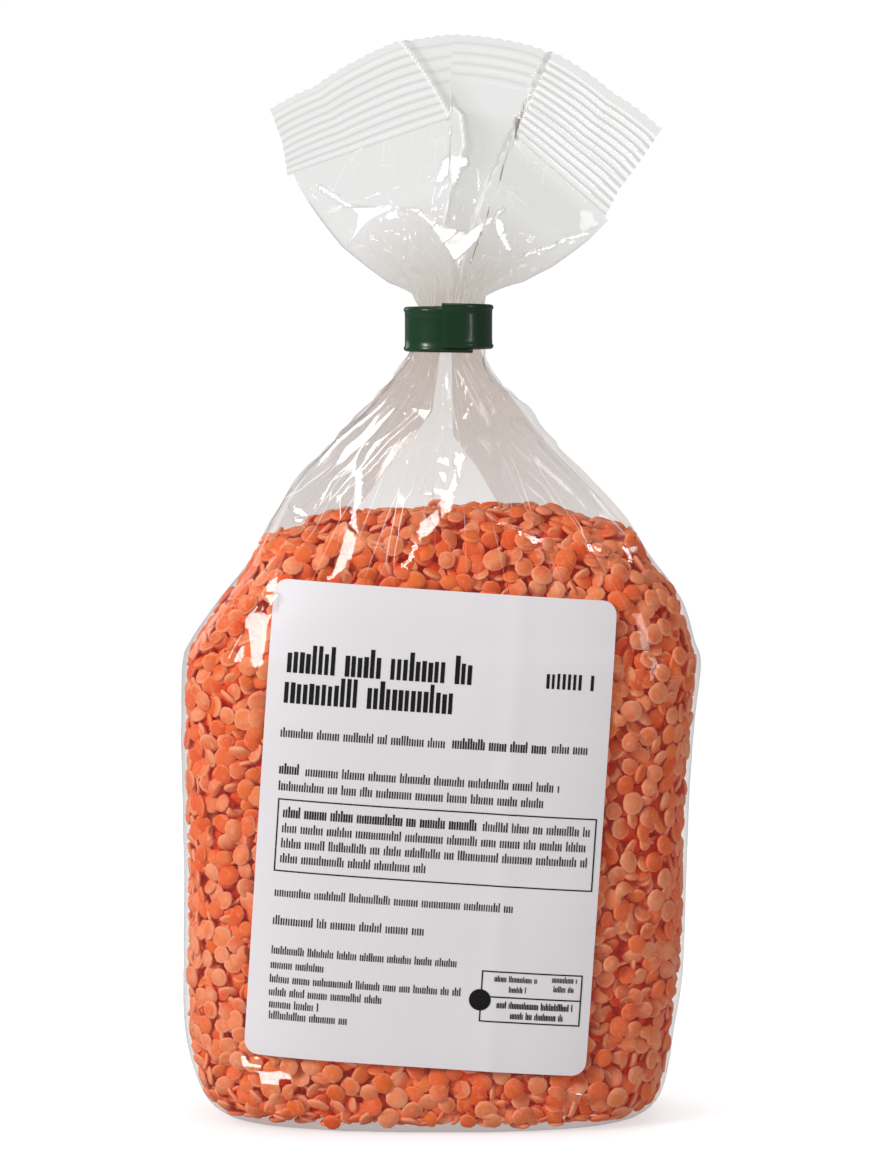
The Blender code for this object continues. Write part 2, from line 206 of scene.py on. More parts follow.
FAN_CREASES = (
    ((2.2, 215.5), (4.5, 206.0), 0.5, 0.7),
    ((4.5, 206.0), (8.6, 196.0), 0.5, 0.7),
    ((8.6, 196.0), (8.3, 190.5), 0.4, 0.7),
    ((8.0, 217.0), (8.8, 196.0), 0.5, 0.8),
    ((14.8, 181.5), (21.0, 187.0), 0.4, 0.7),
    ((21.0, 187.0), (28.5, 191.6), 0.4, 0.7),
    ((-14.7, 190.4), (-7.0, 186.0), 0.4, 0.7),
    ((-25.0, 196.5), (-12.0, 185.0), 0.35, 0.8),
    ((-9.0, 197.0), (-4.6, 186.0), 0.35, 0.7),
    ((15.8, 211.4), (36.0, 194.8), 0.5, 0.7),
    ((13.0, 205.0), (16.0, 190.0), 0.35, 0.8),
)

# Label
LABEL_WIDTH, LABEL_HEIGHT, LABEL_CORNER = 72.6, 100.9, 3.0
LABEL_X, LABEL_Z, LABEL_TURN = -2.3, 65.6, math.radians(-3.8)
LABEL_OFF, LABEL_THICK = 0.3, 0.14
INK_OFF, INK_THICK = 0.05, 0.03
INK_STEP = 1.3  # an ink slab is cut this fine so that it follows the paper

# Clip band
BAND_X = 1.45
BAND_HEIGHT, BAND_THICK, BEAD_THICK = 9.6, 0.7, 1.3
BAND_HALF_WIDTH, BAND_HALF_DEPTH = 8.9, 6.5
BAND_OVERLAP_STEP = 1.7
BAND_LEAN = 1.1
BAND_INNER_END, BAND_OUTER_END = 0.62, -0.13
BAND_POINTS, BEAD_POINTS = 180, 9

# Camera and studio, in metres
CAMERA_AT, CAMERA_AIM = Vector((0.0, -0.80, 0.171)), Vector((0.0, 0.0, 0.1158))
CAMERA_LENS = 113.9
KEY_AT = Vector((-0.90, -0.78, 0.66))


def in_metres(x, y, z):
    return (Vector((x, y, z)) + SHIFT) * MM


def smooth_step(low, high, value):
    """0 below low, 1 above high, and a smooth rise between."""
    share = np.clip((np.asarray(value, float) - low) / (high - low), 0.0, 1.0)
    return share * share * (3.0 - 2.0 * share)


def through(knots, value):
    """Reads a curve given by (place, amount) pairs."""
    places, amounts = zip(*knots)
    return np.interp(value, places, amounts)


def section_at(place):
    """The section at a place counted in SECTIONS, on a smooth curve through all of them."""
    last = len(SECTIONS) - 1
    index = min(int(place), last - 1)
    share = place - index
    before, start = SECTIONS[max(index - 1, 0)], SECTIONS[index]
    end, after = SECTIONS[index + 1], SECTIONS[min(index + 2, last)]
    bend = 2 * before - 5 * start + 4 * end - after
    twist = -before + 3 * start - 3 * end + after
    return 0.5 * (2 * start + (end - before) * share + bend * share**2 + twist * share**3)


def section_line(section, count, inset=0.0):
    """Evenly spaced points round one section: left side first, then the front, right side and back."""
    _, left, right, depth, squareness = section
    turn = np.linspace(0, 2 * math.pi, 1440, endpoint=False)
    across, back = -np.cos(turn), -np.sin(turn)
    reach = np.where(across < 0, left, right) - inset
    power = 2.0 / squareness
    x = reach * np.sign(across) * np.abs(across) ** power
    y = (depth - inset) * np.sign(back) * np.abs(back) ** power
    points = np.stack([x, y], axis=1)
    closed = np.vstack([points, points[:1]])
    run = np.concatenate([[0.0], np.cumsum(np.hypot(*np.diff(closed, axis=0).T))])
    wanted = np.linspace(0, run[-1], count, endpoint=False)
    return np.stack([np.interp(wanted, run, closed[:, axis]) for axis in (0, 1)], axis=1), run[-1]


def outward(line):
    """Unit normals of a closed line that runs this way round."""
    along = np.roll(line, -1, axis=0) - np.roll(line, 1, axis=0)
    normal = np.stack([along[:, 1], -along[:, 0]], axis=1)
    return normal / np.maximum(np.linalg.norm(normal, axis=1, keepdims=True), 1e-9)


SECTION_PLACES = np.linspace(0, len(SECTIONS) - 1, 2401)
SECTION_TABLE = np.array([section_at(p) for p in SECTION_PLACES])


def section_run():
    """Distance along the film's front from the base, and the place in SECTIONS that it reaches."""
    steps = np.hypot(*np.diff(SECTION_TABLE[:, [0, 3]], axis=0).T)
    return np.concatenate([[0.0], np.cumsum(steps)]), SECTION_PLACES


def equal_steps(count):
    """Places in SECTIONS of rows at equal steps along the film."""
    run, places = section_run()
    return np.interp(np.linspace(0, run[-1], count), run, places)


def lump(x, y, z):
    """The slight unevenness of a bag that was filled and dropped on its base."""
    size = LUMP_HEIGHT * float(smooth_step(*LUMP_RISE, z) * (1 - smooth_step(*LUMP_FADE, z)))
    return size * noise.noise(Vector((x, y, z)) / LUMP_SIZE)


def hashed(i, j, seed):
    """A random number from 0 to 1 for each whole-numbered lattice point."""
    mixed = np.sin(i * 127.1 + j * 311.7 + seed * 74.7) * 43758.5453
    return mixed - np.floor(mixed)


def facets(u, v, seed):
    """Flat triangles of random slope that meet in sharp creases, as in crumpled film."""
    u = u + 0.35 * np.sin(v * 1.7 + seed) + 0.22 * np.sin(v * 3.9 + 2 * seed)
    v = v + 0.35 * np.sin(u * 1.5 + 3 * seed) + 0.2 * np.sin(u * 4.3 + seed)
    i, j = np.floor(u), np.floor(v)
    a, b = u - i, v - j
    low = a + b < 1
    corner = np.where(low, hashed(i, j, seed), hashed(i + 1, j + 1, seed))
    side_u = np.where(low, hashed(i + 1, j, seed), hashed(i, j + 1, seed))
    side_v = np.where(low, hashed(i, j + 1, seed), hashed(i + 1, j, seed))
    share_u, share_v = np.where(low, a, 1 - a), np.where(low, b, 1 - b)
    return corner * (1 - share_u - share_v) + side_u * share_u + side_v * share_v - 0.5


def ridge(u, v, start, end, width):
    """1 on the line from start to end, falling straight to 0 at a width to each side and near its ends."""
    du, dv = end[0] - start[0], end[1] - start[1]
    length = du * du + dv * dv
    along = np.clip(((u - start[0]) * du + (v - start[1]) * dv) / length, 0, 1)
    off = np.hypot(u - start[0] - along * du, v - start[1] - along * dv)
    return np.clip(1 - off / width, 0, 1) * np.minimum(1, 5 * np.minimum(along, 1 - along) + 0.15)


def new_mesh(name, points, faces):
    mesh = bpy.data.meshes.new(name)
    mesh.from_pydata([in_metres(*p) for p in points], [], faces)
    mesh.update()
    return mesh


def put(name, mesh, *materials):
    """A finished mesh as an object at the origin."""
    made = bpy.data.objects.new(name, mesh)
    bpy.context.scene.collection.objects.link(made)
    mesh.materials.clear()
    for one in materials:
        mesh.materials.append(one)
    return made


def tube_faces(rows, columns, first=0):
    """Quads between rings that follow each other, facing out, shut at both ends."""
    faces = []
    for r in range(rows - 1):
        lower = first + r * columns
        for c in range(columns):
            d = (c + 1) % columns
            faces.append((lower + c, lower + d, lower + columns + d, lower + columns + c))
    faces.append(tuple(first + c for c in reversed(range(columns))))
    top = first + (rows - 1) * columns
    faces.append(tuple(top + c for c in range(columns)))
    return faces


def smooth(mesh, sharp_over=math.radians(50)):
    mesh.shade_smooth()
    mesh.set_sharp_from_angle(angle=sharp_over)


def mesh_of(shape, name):
    """A finished shape as a mesh, with its faces turned out."""
    bmesh.ops.recalc_face_normals(shape, faces=shape.faces)
    mesh = bpy.data.meshes.new(name)
    shape.to_mesh(mesh)
    shape.free()
    return mesh


def bridge(shape, first, second):
    """Quads from one ring of vertices to the next."""
    for i in range(len(first)):
        j = (i + 1) % len(first)
        shape.faces.new((first[i], first[j], second[j], second[i]))


def fill(tree, node, inputs):
    """Gives a node's inputs their values, or links them to what other nodes give."""
    for name, source in inputs.items():
        socket = node.inputs[name]
        if isinstance(source, bpy.types.NodeSocket):
            tree.links.new(source, socket)
        elif socket.type == "RGBA":
            socket.default_value = (*source, 1.0)
        else:
            socket.default_value = source


def add_node(tree, kind, inputs=None, **settings):
    """A node of a kind, with its settings and then its inputs."""
    node = tree.nodes.new(kind)
    for name, value in settings.items():
        setattr(node, name, value)
    fill(tree, node, inputs or {})
    return node


# Film


def zigzag(turns):
    """Straight falls and rises between 1 and 0, one of each in every whole turn."""
    return np.abs((turns % 1.0) * 2.0 - 1.0)


def gather_depths(share, height, perimeter):
    """Straight folds that start on the shoulders and deepen towards the neck, as (row, column) depths."""
    depth = np.zeros((len(height), len(share)))
    for count, start, full, size, first in GATHERS:
        wander = 0.35 * np.sin(2 * math.pi * (2 * share + first))
        wander = wander + 0.2 * np.sin(2 * math.pi * (5 * share - first))
        turns = share * count + first + wander
        own = 0.4 + 0.6 * hashed(np.floor(turns) % count, 0.0, count)
        late = 16.0 * hashed(np.floor(turns) % count, 5.0, count) - 8.0
        grown = smooth_step(start + late, full + late, height[:, None])
        room = np.minimum(1.0, perimeter / (12.0 * count))[:, None]
        depth += (1 - zigzag(turns)) * own * size * grown * room
    return depth


def inside_depth(x, z, corners, growth):
    """How far each point lies inside an outline that is grown by a rim, and 0 outside it."""
    inside = np.zeros(x.shape, bool)
    nearest = np.full(x.shape, 1e9)
    for (ax, az), (bx, bz) in zip(corners, corners[1:] + corners[:1]):
        dx, dz = bx - ax, bz - az
        along = np.clip(((x - ax) * dx + (z - az) * dz) / (dx * dx + dz * dz), 0, 1)
        nearest = np.minimum(nearest, np.hypot(x - ax - along * dx, z - az - along * dz))
        crosses = (az > z) != (bz > z)
        inside ^= crosses & (x < ax + (z - az) * dx / (dz or 1e-9))
    return np.maximum(np.where(inside, nearest, -nearest) + growth, 0.0)


def shine_slope(x, z):
    """Slope of film here that mirrors the key light to the camera, as change of y with x and with z."""
    place = in_metres(x, -DENT_DEPTH, z)
    half = (KEY_AT - place).normalized() + (CAMERA_AT - place).normalized()
    return half.x / -half.y, half.z / -half.y


def work_film(points, dents, growth, creases):
    """Presses dents into the front film, and thin creases into the front film and mirrored into the back."""
    x, y, z = points[..., 0], points[..., 1], points[..., 2]
    middle = y.copy()
    for side in (-1.0, 1.0):
        here = middle * side > 0
        mirrored = -side * x
        for start, end, height, half in creases:
            y += side * np.where(here, height * ridge(mirrored, z, start, end, half), 0.0)
    for corners in dents:
        shine = shine_slope(*np.mean(corners, axis=0))
        depth = np.where(middle < 0, inside_depth(x, z, corners, growth), 0.0)
        held = depth > 0
        flat = shine[0] * x + shine[1] * z
        apart = flat - y - (flat - y)[held].mean()
        places = np.column_stack([x[held], z[held], np.ones(np.count_nonzero(held))])
        rise_x, rise_z, level = np.linalg.lstsq(places, apart[held], rcond=None)[0]
        step = np.ceil((rise_x * x + rise_z * z + level - DENT_IN) / DENT_STEP)
        y += np.minimum(depth / DENT_RIM, 1.0) * (apart - DENT_STEP * step)


def film_rows():
    """Places in SECTIONS of the film's rows, closer together on the shoulders and the neck."""
    run, places = section_run()
    shoulder_place = np.interp(SHOULDER_HEIGHT, SECTIONS[:, 0], range(len(SECTIONS)))
    shoulder = float(np.interp(shoulder_place, places, run))
    wanted = np.interp(np.linspace(0, 1, FILM_ROWS), (0.0, TIGHT_SHARE, 1.0), (0.0, shoulder, run[-1]))
    return np.interp(wanted, run, places)


def body_film_points():
    """Rings of the film from its base to the middle of the neck."""
    sections = np.array([section_at(p) for p in film_rows()])
    height = sections[:, 0]
    share = np.arange(FILM_COLUMNS) / FILM_COLUMNS
    lines, perimeter = zip(*(section_line(s, FILM_COLUMNS) for s in sections))
    lines, perimeter = np.array(lines), np.array(perimeter)
    normals = np.array([outward(line) for line in lines])
    push = FILM_OFF - gather_depths(share, height, perimeter)
    around = share[None, :] * np.ones((FILM_ROWS, 1))
    up = height[:, None]
    for size, count, tall, seed, rise, fade in BODY_CRUMPLES:
        held = smooth_step(*rise, up) * (1 - smooth_step(*fade, up))
        push += size * held * facets(around * count, up / tall, seed)
    for row in range(FILM_ROWS):
        if height[row] < LUMP_FADE[1]:
            push[row] += [lump(x, y, height[row]) for x, y in lines[row]]
    moved = lines + normals * push[:, :, None]
    loose = smooth_step(*LOOSE_RISE, up) * (1 - smooth_step(*LOOSE_FADE, up))
    lifted = up + 0.8 * facets(around * 23, up / 13, 7.7) * loose
    return np.dstack([moved[:, :, 0], moved[:, :, 1], np.maximum(lifted, 0.0)])


def make_body_film(film):
    grid = body_film_points()
    work_film(grid, BODY_DENTS, BODY_DENT_GROWTH, BODY_CREASES)
    mesh = new_mesh("film_body", grid.reshape(-1, 3), tube_faces(FILM_ROWS, FILM_COLUMNS))
    smooth(mesh)
    return put("film_body", mesh, film)


def make_tucks(film):
    """The gusset folded in on each side of the headspace: a V of film from the shoulder up to the neck."""
    made = []
    for name, sign, reach_at, folds in TUCKS:
        rings = []
        for z in np.linspace(TUCK_BOTTOM, TUCK_TOP, TUCK_ROWS):
            table = [np.interp(z, SECTION_TABLE[:, 0], SECTION_TABLE[:, k]) for k in range(5)]
            outer, wide = sign * TUCK_REACH * table[reach_at], TUCK_DEPTH * table[3]
            inner = through(folds, z)
            share = np.linspace(-1, 1, 2 * TUCK_COLUMNS + 1)
            near = np.abs(share)
            x = inner + (outer - inner) * near
            crumple = facets(near * 5 + 3 * sign, np.full(len(near), z / 9), 6.1 + sign)
            crumple += 0.5 * facets(near * 12, np.full(len(near), z / 5), 2.6)
            y = np.sign(share) * (near * wide + 0.25 * wide * crumple * (1 - near) * near * 4 * 0.5)
            wall = np.where(near < 0.02, 0.0, TUCK_WALL)
            outside = np.stack([x, y, np.full(len(x), z)], axis=1)
            inside = np.stack([x + sign * TUCK_WALL, y - np.sign(share) * wall, np.full(len(x), z)], axis=1)
            rings.append(np.vstack([outside, inside[::-1]]))
        mesh = new_mesh(name, np.vstack(rings), tube_faces(len(rings), len(rings[0])))
        face_out(mesh)
        smooth(mesh)
        made.append(put(name, mesh, film))
    return made


def face_out(mesh):
    shape = bmesh.new()
    shape.from_mesh(mesh)
    bmesh.ops.recalc_face_normals(shape, faces=shape.faces)
    shape.to_mesh(mesh)
    shape.free()


# The folds of the fan: the angle of each border of its panels by radius, and its place along Y at the edge
FAN_BORDERS = (
    ("left tip", ((20, -60), (62, -60)), 4.0),
    ("left panel", ((20, -30), (62, -39)), 2.0),
    ("left crease", ((20, -4), (30, 2.0), (37, 5.0), (43.4, 3.4), (45, 0.8), (62, -9.5)), -6.0),
    ("under the left crease", ((20, -1), (30, 4.4), (37, 7.4), (43.4, 5.4), (45, 3.2), (62, -7.0)), 0.5),
    ("valley", ((20, 6), (45, 9.0), (62, 4.5)), 3.2),
    ("under the right crease", ((20, 11.5), (45, 17.6), (62, 19.6)), 1.4),
    ("right crease", ((20, 14), (45, 19.3), (62, 20.9)), -6.0),
    ("right tip", ((20, 47), (62, 47)), 3.5),
    ("past the right tip", ((20, 62), (62, 62)), 5.0),
)


def fan_fold(angle, radius):
    """How far back the film lies at these angles and this radius."""
    angles = [through(border[1], radius) for border in FAN_BORDERS]
    return np.interp(angle, angles, [border[2] for border in FAN_BORDERS])


def seal_start(angle):
    """The radius at which the seal starts, for each angle: straight in the outer panels, else an arc."""
    start = np.full(len(angle), SEAL_MIDDLE)
    for distance, turn, low, high in SEAL_EDGES:
        here = (angle >= low) & (angle <= high)
        start = np.where(here, distance / np.cos(np.radians(angle - turn)), start)
    return start


def seal_ribs(angle, radius, share):
    """Height of the seal's ribs, the painted shade at their feet and the painted highlight on their backs;
    share runs up from its lower edge.
    """
    ribs, painted_rib_shade, painted_rib_highlight = (np.zeros(len(angle)) for _ in range(3))
    for border, count, height, painted_dark, white, bare in RIBS:
        here = angle >= through(border, radius)
        wave = math.sin(2 * math.pi * count * share)
        held = float(smooth_step(bare, bare + 0.03, share) * (1 - smooth_step(0.90, 0.94, share)))
        own = 0.35 + 0.65 * hashed(math.floor(count * share + 0.25), 3.0, count)
        ribs = np.where(here, height * wave * held, ribs)
        # Painted shade at the feet of the ribs, and painted highlight on their backs
        painted_rib_shade = np.where(here, painted_dark * held * max(wave, 0.0) ** 2, painted_rib_shade)
        painted_rib_highlight = np.where(here, white * own * held * max(-wave, 0.0) ** 0.7, painted_rib_highlight)
    return ribs, painted_rib_shade, painted_rib_highlight


def crease_marks(angle, radius, front):
    """The white line on the fan's left crease, partly painted highlight and partly the film whitened there,
    and painted shade on the folds to the right of it and low on the right.
    """
    past = np.radians(angle - through(FAN_BORDERS[2][1], radius)) * radius
    low = float(smooth_step(18.0, 27.0, radius))
    # White line along the crease: partly painted highlight, partly the film whitened there
    line = CREASE_WHITE * low * np.clip(1 - np.abs(past) / CREASE_HALF, 0, 1)
    # Painted shade on the folds right of the crease, and low on the right
    beside = np.where(past > 0, np.clip(1 - past / PAINTED_FOLD_SHADE_REACH, 0, 1), 0.0)
    painted_fold_shade = PAINTED_FOLD_SHADE * low * (1 - smooth_step(46.0, 60.0, radius)) * beside
    painted_fold_shade += PAINTED_RIGHT_SHADE * smooth_step(-5.0, 12.0, angle) * (1 - smooth_step(40.0, 46.0, radius))
    return line * front, painted_fold_shade * front


def fan_film_points():
    """Rings of the fan, to the right in front and back again behind, with their painted shade and white
    marks, the white partly painted highlight.
    """
    half = FAN_COLUMNS // 2
    index = np.arange(FAN_COLUMNS)
    side = np.where(index < half, -1.0, 1.0)
    share = np.where(index < half, index / half, 2 - index / half)
    rings, shades, whites = [], [], []
    draw = random.Random(9)
    pleats = [[draw.uniform(*ends) for ends in PLEAT_RANGES] for _ in range(FAN_PLEATS)]
    for row in range(FAN_ROWS):
        up = row / (FAN_ROWS - 1)
        radius = np.interp(up, (0.0, SEAL_ROW_SHARE, 1.0), (FAN_START, SEAL_START, FAN_EDGE))
        below = min(up / SEAL_ROW_SHARE, 1.0)
        along_seal = max(up - SEAL_ROW_SHARE, 0.0) / (1 - SEAL_ROW_SHARE)
        left, right = through(LEFT_ANGLES, radius), through(RIGHT_ANGLES, radius)
        if below < 1.0:
            ends = FAN_START + (seal_start(np.array([-left, right])) - FAN_START) * below
            left, right = through(LEFT_ANGLES, ends[0]), through(RIGHT_ANGLES, ends[1])
        angle = -left + share * (left + right)
        start = seal_start(angle)
        tooth = TOOTH * (np.abs((share * TEETH) % 2 - 1) - 0.5) * smooth_step(0.93, 1.0, along_seal)
        edge = FAN_EDGE + through(CREST, angle) + tooth
        reach = FAN_START + (start - FAN_START) * below + (edge - start) * along_seal
        puff = through(PUFF, radius) * (1 - np.abs(2 * share - 1) ** FAN_SQUARENESS) ** 0.5
        fold = fan_fold(angle, radius) * (radius / FAN_EDGE) ** 1.2
        open_share = smooth_step(8.0, 18.0, radius) * (1 - smooth_step(38.0, 45.0, radius))
        crumple = 1.3 * facets(share * 6 + side, np.full(FAN_COLUMNS, radius / 12) + side, 5.5)
        crumple += 0.4 * facets(share * 17 + 3 * side, np.full(FAN_COLUMNS, radius / 5.5) + side, 8.8)
        gathered = smooth_step(7.0, 10.0, radius) * (1 - smooth_step(20.0, 31.0, radius))
        tight = 1.5 * gathered * facets(share * 23 + side, np.full(FAN_COLUMNS, radius / 2.6), 3.1)
        groove = np.zeros(FAN_COLUMNS)
        for middle, end, size in pleats:
            width = PLEAT_WIDTH * size * (0.4 + radius / 40)
            fade = 1 - smooth_step(end - PLEAT_FADE, end, radius)
            groove += size * np.clip(1 - np.abs(share - middle) / width, 0, 1) * fade
        loose = crumple * open_share * np.minimum(1, puff / 2)
        away = side * (puff + tight + loose - np.minimum(groove, 0.8 * puff))
        turn = np.radians(angle)
        ribs, painted_rib_shade, painted_rib_highlight = seal_ribs(angle, radius, along_seal)
        line, painted_fold_shade = crease_marks(angle, radius, side < 0)
        y = fold + away + ribs
        shades.append(np.minimum(painted_rib_shade + painted_fold_shade, 1.0))
        whites.append(painted_rib_highlight + line)
        rings.append(np.stack([NECK_X + reach * np.sin(turn), y, NECK_Z + reach * np.cos(turn)], axis=1))
    grid = np.array(rings)
    work_film(grid, FAN_DENTS, FAN_DENT_GROWTH, FAN_CREASES)
    return grid, np.array(shades), np.array(whites)


def make_fan_film(film):
    neck, _ = section_line(SECTIONS[-1], FAN_COLUMNS)
    grid, shades, whites = fan_film_points()
    rings = list(grid)
    low = np.column_stack([neck * 0.96, np.full(FAN_COLUMNS, NECK_Z + 0.5)])
    between = [low * (1 - t) + rings[0] * t for t in (0.0, 0.3, 0.6, 0.85)]
    rings = between + rings
    mesh = new_mesh("film_fan", np.vstack(rings), tube_faces(len(rings), FAN_COLUMNS)[:-1])
    unmarked = np.zeros(len(between) * FAN_COLUMNS)
    for kind, values in (("shade", shades), ("white", whites)):
        marks = mesh.attributes.new(kind, "FLOAT", "POINT")
        marks.data.foreach_set("value", np.concatenate([unmarked, values.ravel()]))
    shape = bmesh.new()
    shape.from_mesh(mesh)
    shape.verts.ensure_lookup_table()
    top = (len(rings) - 1) * FAN_COLUMNS
    for i in range(FAN_COLUMNS // 2):
        loop = (i, i + 1, (FAN_COLUMNS - i - 1) % FAN_COLUMNS, (FAN_COLUMNS - i) % FAN_COLUMNS)
        shape.faces.new([shape.verts[top + k] for k in dict.fromkeys(loop)])
    bmesh.ops.recalc_face_normals(shape, faces=shape.faces)
    shape.to_mesh(mesh)
    shape.free()
    smooth(mesh)
    return put("film_fan", mesh, film)


# Lentils


def heap_height(x, y):
    along = HEAP_FALL * ((x - HEAP_X) / HEAP_REACH) ** 2
    return HEAP_TOP - along - HEAP_FALL_ACROSS * (y / HEAP_REACH_ACROSS) ** 2


def heap_mesh(name, inset):
    """The room the lentils fill: the bag's form drawn in by an inset, cut off by the heap."""
    rows = []
    for place in equal_steps(HEAP_ROWS):
        section = section_at(place)
        if section[0] > HEAP_LIMIT:
            break
        line, _ = section_line(section, HEAP_COLUMNS, inset)
        line += outward(line) * [[min(lump(x, y, section[0]), 0.3)] for x, y in line]
        height = max(section[0], inset + 0.6)
        for x, y in line:
            rough = 1.2 * noise.noise(Vector((x, y, 3.0)) / 7.0)
            rows.append((x, y, min(height, heap_height(x, y) + rough - inset)))
    return new_mesh(name, rows, tube_faces(len(rows) // HEAP_COLUMNS, HEAP_COLUMNS))


# Outlines of half a lentil from its middle to its rim, as shares of its radius and of its thickness
SPLIT_TOP, SPLIT_BOTTOM = ((0.62, 0.84), (0.93, 0.46), (1.0, 0.06)), ((0.90, -0.26),)
WHOLE_TOP, WHOLE_BOTTOM = ((0.55, 0.80), (0.88, 0.42), (1.0, 0.02)), ((0.6, -0.78),)


def lentil_mesh(name, flat_out=False, whole=False, chip=False, segments=10):
    """A lentil lying flat: a split one is a thin disc with one flat face, a whole one is domed on both."""
    draw = random.Random(name)
    rims = WHOLE_TOP + WHOLE_BOTTOM if whole else SPLIT_TOP + SPLIT_BOTTOM
    ends = (1.0, -1.0) if whole else (1.0, -0.20)
    scale = WHOLE_THICK / 2 if whole else LENTIL_THICK
    shape = bmesh.new()
    rim_mark = shape.verts.layers.float.new("rim")
    wobble = [1 + draw.uniform(-0.07, 0.07) for _ in range(segments)]
    rings = []
    for r, h in rims:
        ring = []
        for s in range(segments):
            turn = 2 * math.pi * s / segments
            x, y = r * math.cos(turn) * wobble[s], r * math.sin(turn) * wobble[s]
            if chip:
                x = max(x, -0.2 - 0.15 * math.sin(turn * 3))
            vertex = shape.verts.new((x * LENTIL_RADIUS, y * LENTIL_RADIUS, h * scale))
            vertex[rim_mark] = 1.0 if r > 0.85 else 0.0
            ring.append(vertex)
        rings.append(ring)
    top, bottom = shape.verts.new((0, 0, ends[0] * scale)), shape.verts.new((0, 0, ends[1] * scale))
    for upper, lower in zip(rings, rings[1:]):
        for i in range(segments):
            j = (i + 1) % segments
            shape.faces.new((upper[i], lower[i], lower[j], upper[j]))
    for i in range(segments):
        j = (i + 1) % segments
        shape.faces.new((top, rings[0][i], rings[0][j]))
        shape.faces.new((bottom, rings[-1][j], rings[-1][i]))
    if flat_out:
        bmesh.ops.rotate(shape, verts=shape.verts, cent=(0, 0, 0), matrix=Matrix.Rotation(math.pi, 3, "X"))
    bmesh.ops.scale(shape, verts=shape.verts, vec=(MM, MM, MM))
    mesh = mesh_of(shape, name)
    mesh.shade_smooth()
    return mesh


SCATTER_INPUTS = (
    ("Geometry", "NodeSocketGeometry", None),
    ("Shape", "NodeSocketObject", None),
    ("Material", "NodeSocketMaterial", None),
    ("Spacing", "NodeSocketFloat", 0.004),
    ("Seed", "NodeSocketInt", 1),
    ("Pick from", "NodeSocketFloat", 0.0),
    ("Pick to", "NodeSocketFloat", 1.0),
    ("Depth", "NodeSocketFloat", 0.0006),
    ("Depth spread", "NodeSocketFloat", 0.0003),
    ("Tilt", "NodeSocketFloat", 0.2),
    ("Reach", "NodeSocketFloat", 0.0023),
    ("Size low", "NodeSocketFloat", 0.85),
    ("Size high", "NodeSocketFloat", 1.12),
)


def scatter_tree():
    """Spreads a shape over a surface, each lying nearly flat against it at a random tilt and size."""
    tree = bpy.data.node_groups.new("scatter lentils", "GeometryNodeTree")
    for name, kind, value in SCATTER_INPUTS:
        made = tree.interface.new_socket(name, in_out="INPUT", socket_type=kind)
        if value is not None:
            made.default_value = value
    tree.interface.new_socket("Geometry", in_out="OUTPUT", socket_type="NodeSocketGeometry")
    given = tree.nodes.new("NodeGroupInput").outputs

    def first_of(kind, inputs, **settings):
        return add_node(tree, kind, inputs, **settings).outputs[0]

    def reckon(operation, *sources, kind="ShaderNodeMath"):
        return first_of(kind, dict(enumerate(sources)), operation=operation)

    def chance(low, high, seed_step):
        """A random number between two bounds, or a random vector between two vectors."""
        kind, first, result = ("FLOAT_VECTOR", 0, 0) if isinstance(low, tuple) else ("FLOAT", 2, 1)
        inputs = {first: low, first + 1: high, "Seed": reckon("ADD", given["Seed"], float(seed_step))}
        return add_node(tree, "FunctionNodeRandomValue", inputs, data_type=kind).outputs[result]

    def turned(rotation, **angles):
        angles = first_of("ShaderNodeCombineXYZ", angles)
        return first_of("FunctionNodeRotateRotation", {0: rotation, 1: angles}, rotation_space="LOCAL")

    def scaled(vector, size):
        return first_of("ShaderNodeVectorMath", {0: vector, "Scale": size}, operation="SCALE")

    spread = add_node(
        tree,
        "GeometryNodeDistributePointsOnFaces",
        {"Mesh": given["Geometry"], "Distance Min": given["Spacing"], "Seed": given["Seed"]},
        distribute_method="POISSON",
    )
    spread.inputs["Density Max"].default_value = MOST_POINTS
    tilt = chance(0.0, given["Tilt"], 11)
    lean = reckon("MULTIPLY", reckon("SINE", tilt), given["Reach"])
    extra = chance(0.0, given["Depth spread"], 12)
    depth = reckon("ADD", reckon("ADD", given["Depth"], extra), lean)
    offset = scaled(spread.outputs["Normal"], reckon("MULTIPLY", depth, -1.0))
    settled = first_of("GeometryNodeSetPosition", {"Geometry": spread.outputs["Points"], "Offset": offset})
    lying = turned(spread.outputs["Rotation"], X=tilt, Z=chance(0.0, 2 * math.pi, 13))
    spun = turned(lying, Z=chance(0.0, 2 * math.pi, 17))
    size = chance(given["Size low"], given["Size high"], 14)
    uneven = chance((0.94, 0.94, 0.85), (1.06, 1.06, 1.15), 15)
    pick = chance(0.0, 1.0, 16)
    above = reckon("GREATER_EQUAL", pick, given["Pick from"], kind="FunctionNodeCompare")
    below = reckon("LESS_THAN", pick, given["Pick to"], kind="FunctionNodeCompare")
    shape = add_node(tree, "GeometryNodeObjectInfo", {"Object": given["Shape"]})
    placed = {
        "Points": settled,
        "Selection": reckon("AND", above, below, kind="FunctionNodeBooleanMath"),
        "Instance": shape.outputs["Geometry"],
        "Rotation": spun,
        "Scale": scaled(uneven, size),
    }
    tone = {
        "Geometry": first_of("GeometryNodeInstanceOnPoints", placed),
        "Name": "tone",
        "Value": chance(0.0, 1.0, 18),
    }
    toned = first_of("GeometryNodeStoreNamedAttribute", tone, data_type="FLOAT", domain="INSTANCE")
    dress = {"Geometry": first_of("GeometryNodeRealizeInstances", {0: toned}), "Material": given["Material"]}
    add_node(tree, "NodeGroupOutput", {"Geometry": first_of("GeometryNodeSetMaterial", dress)})
    return tree


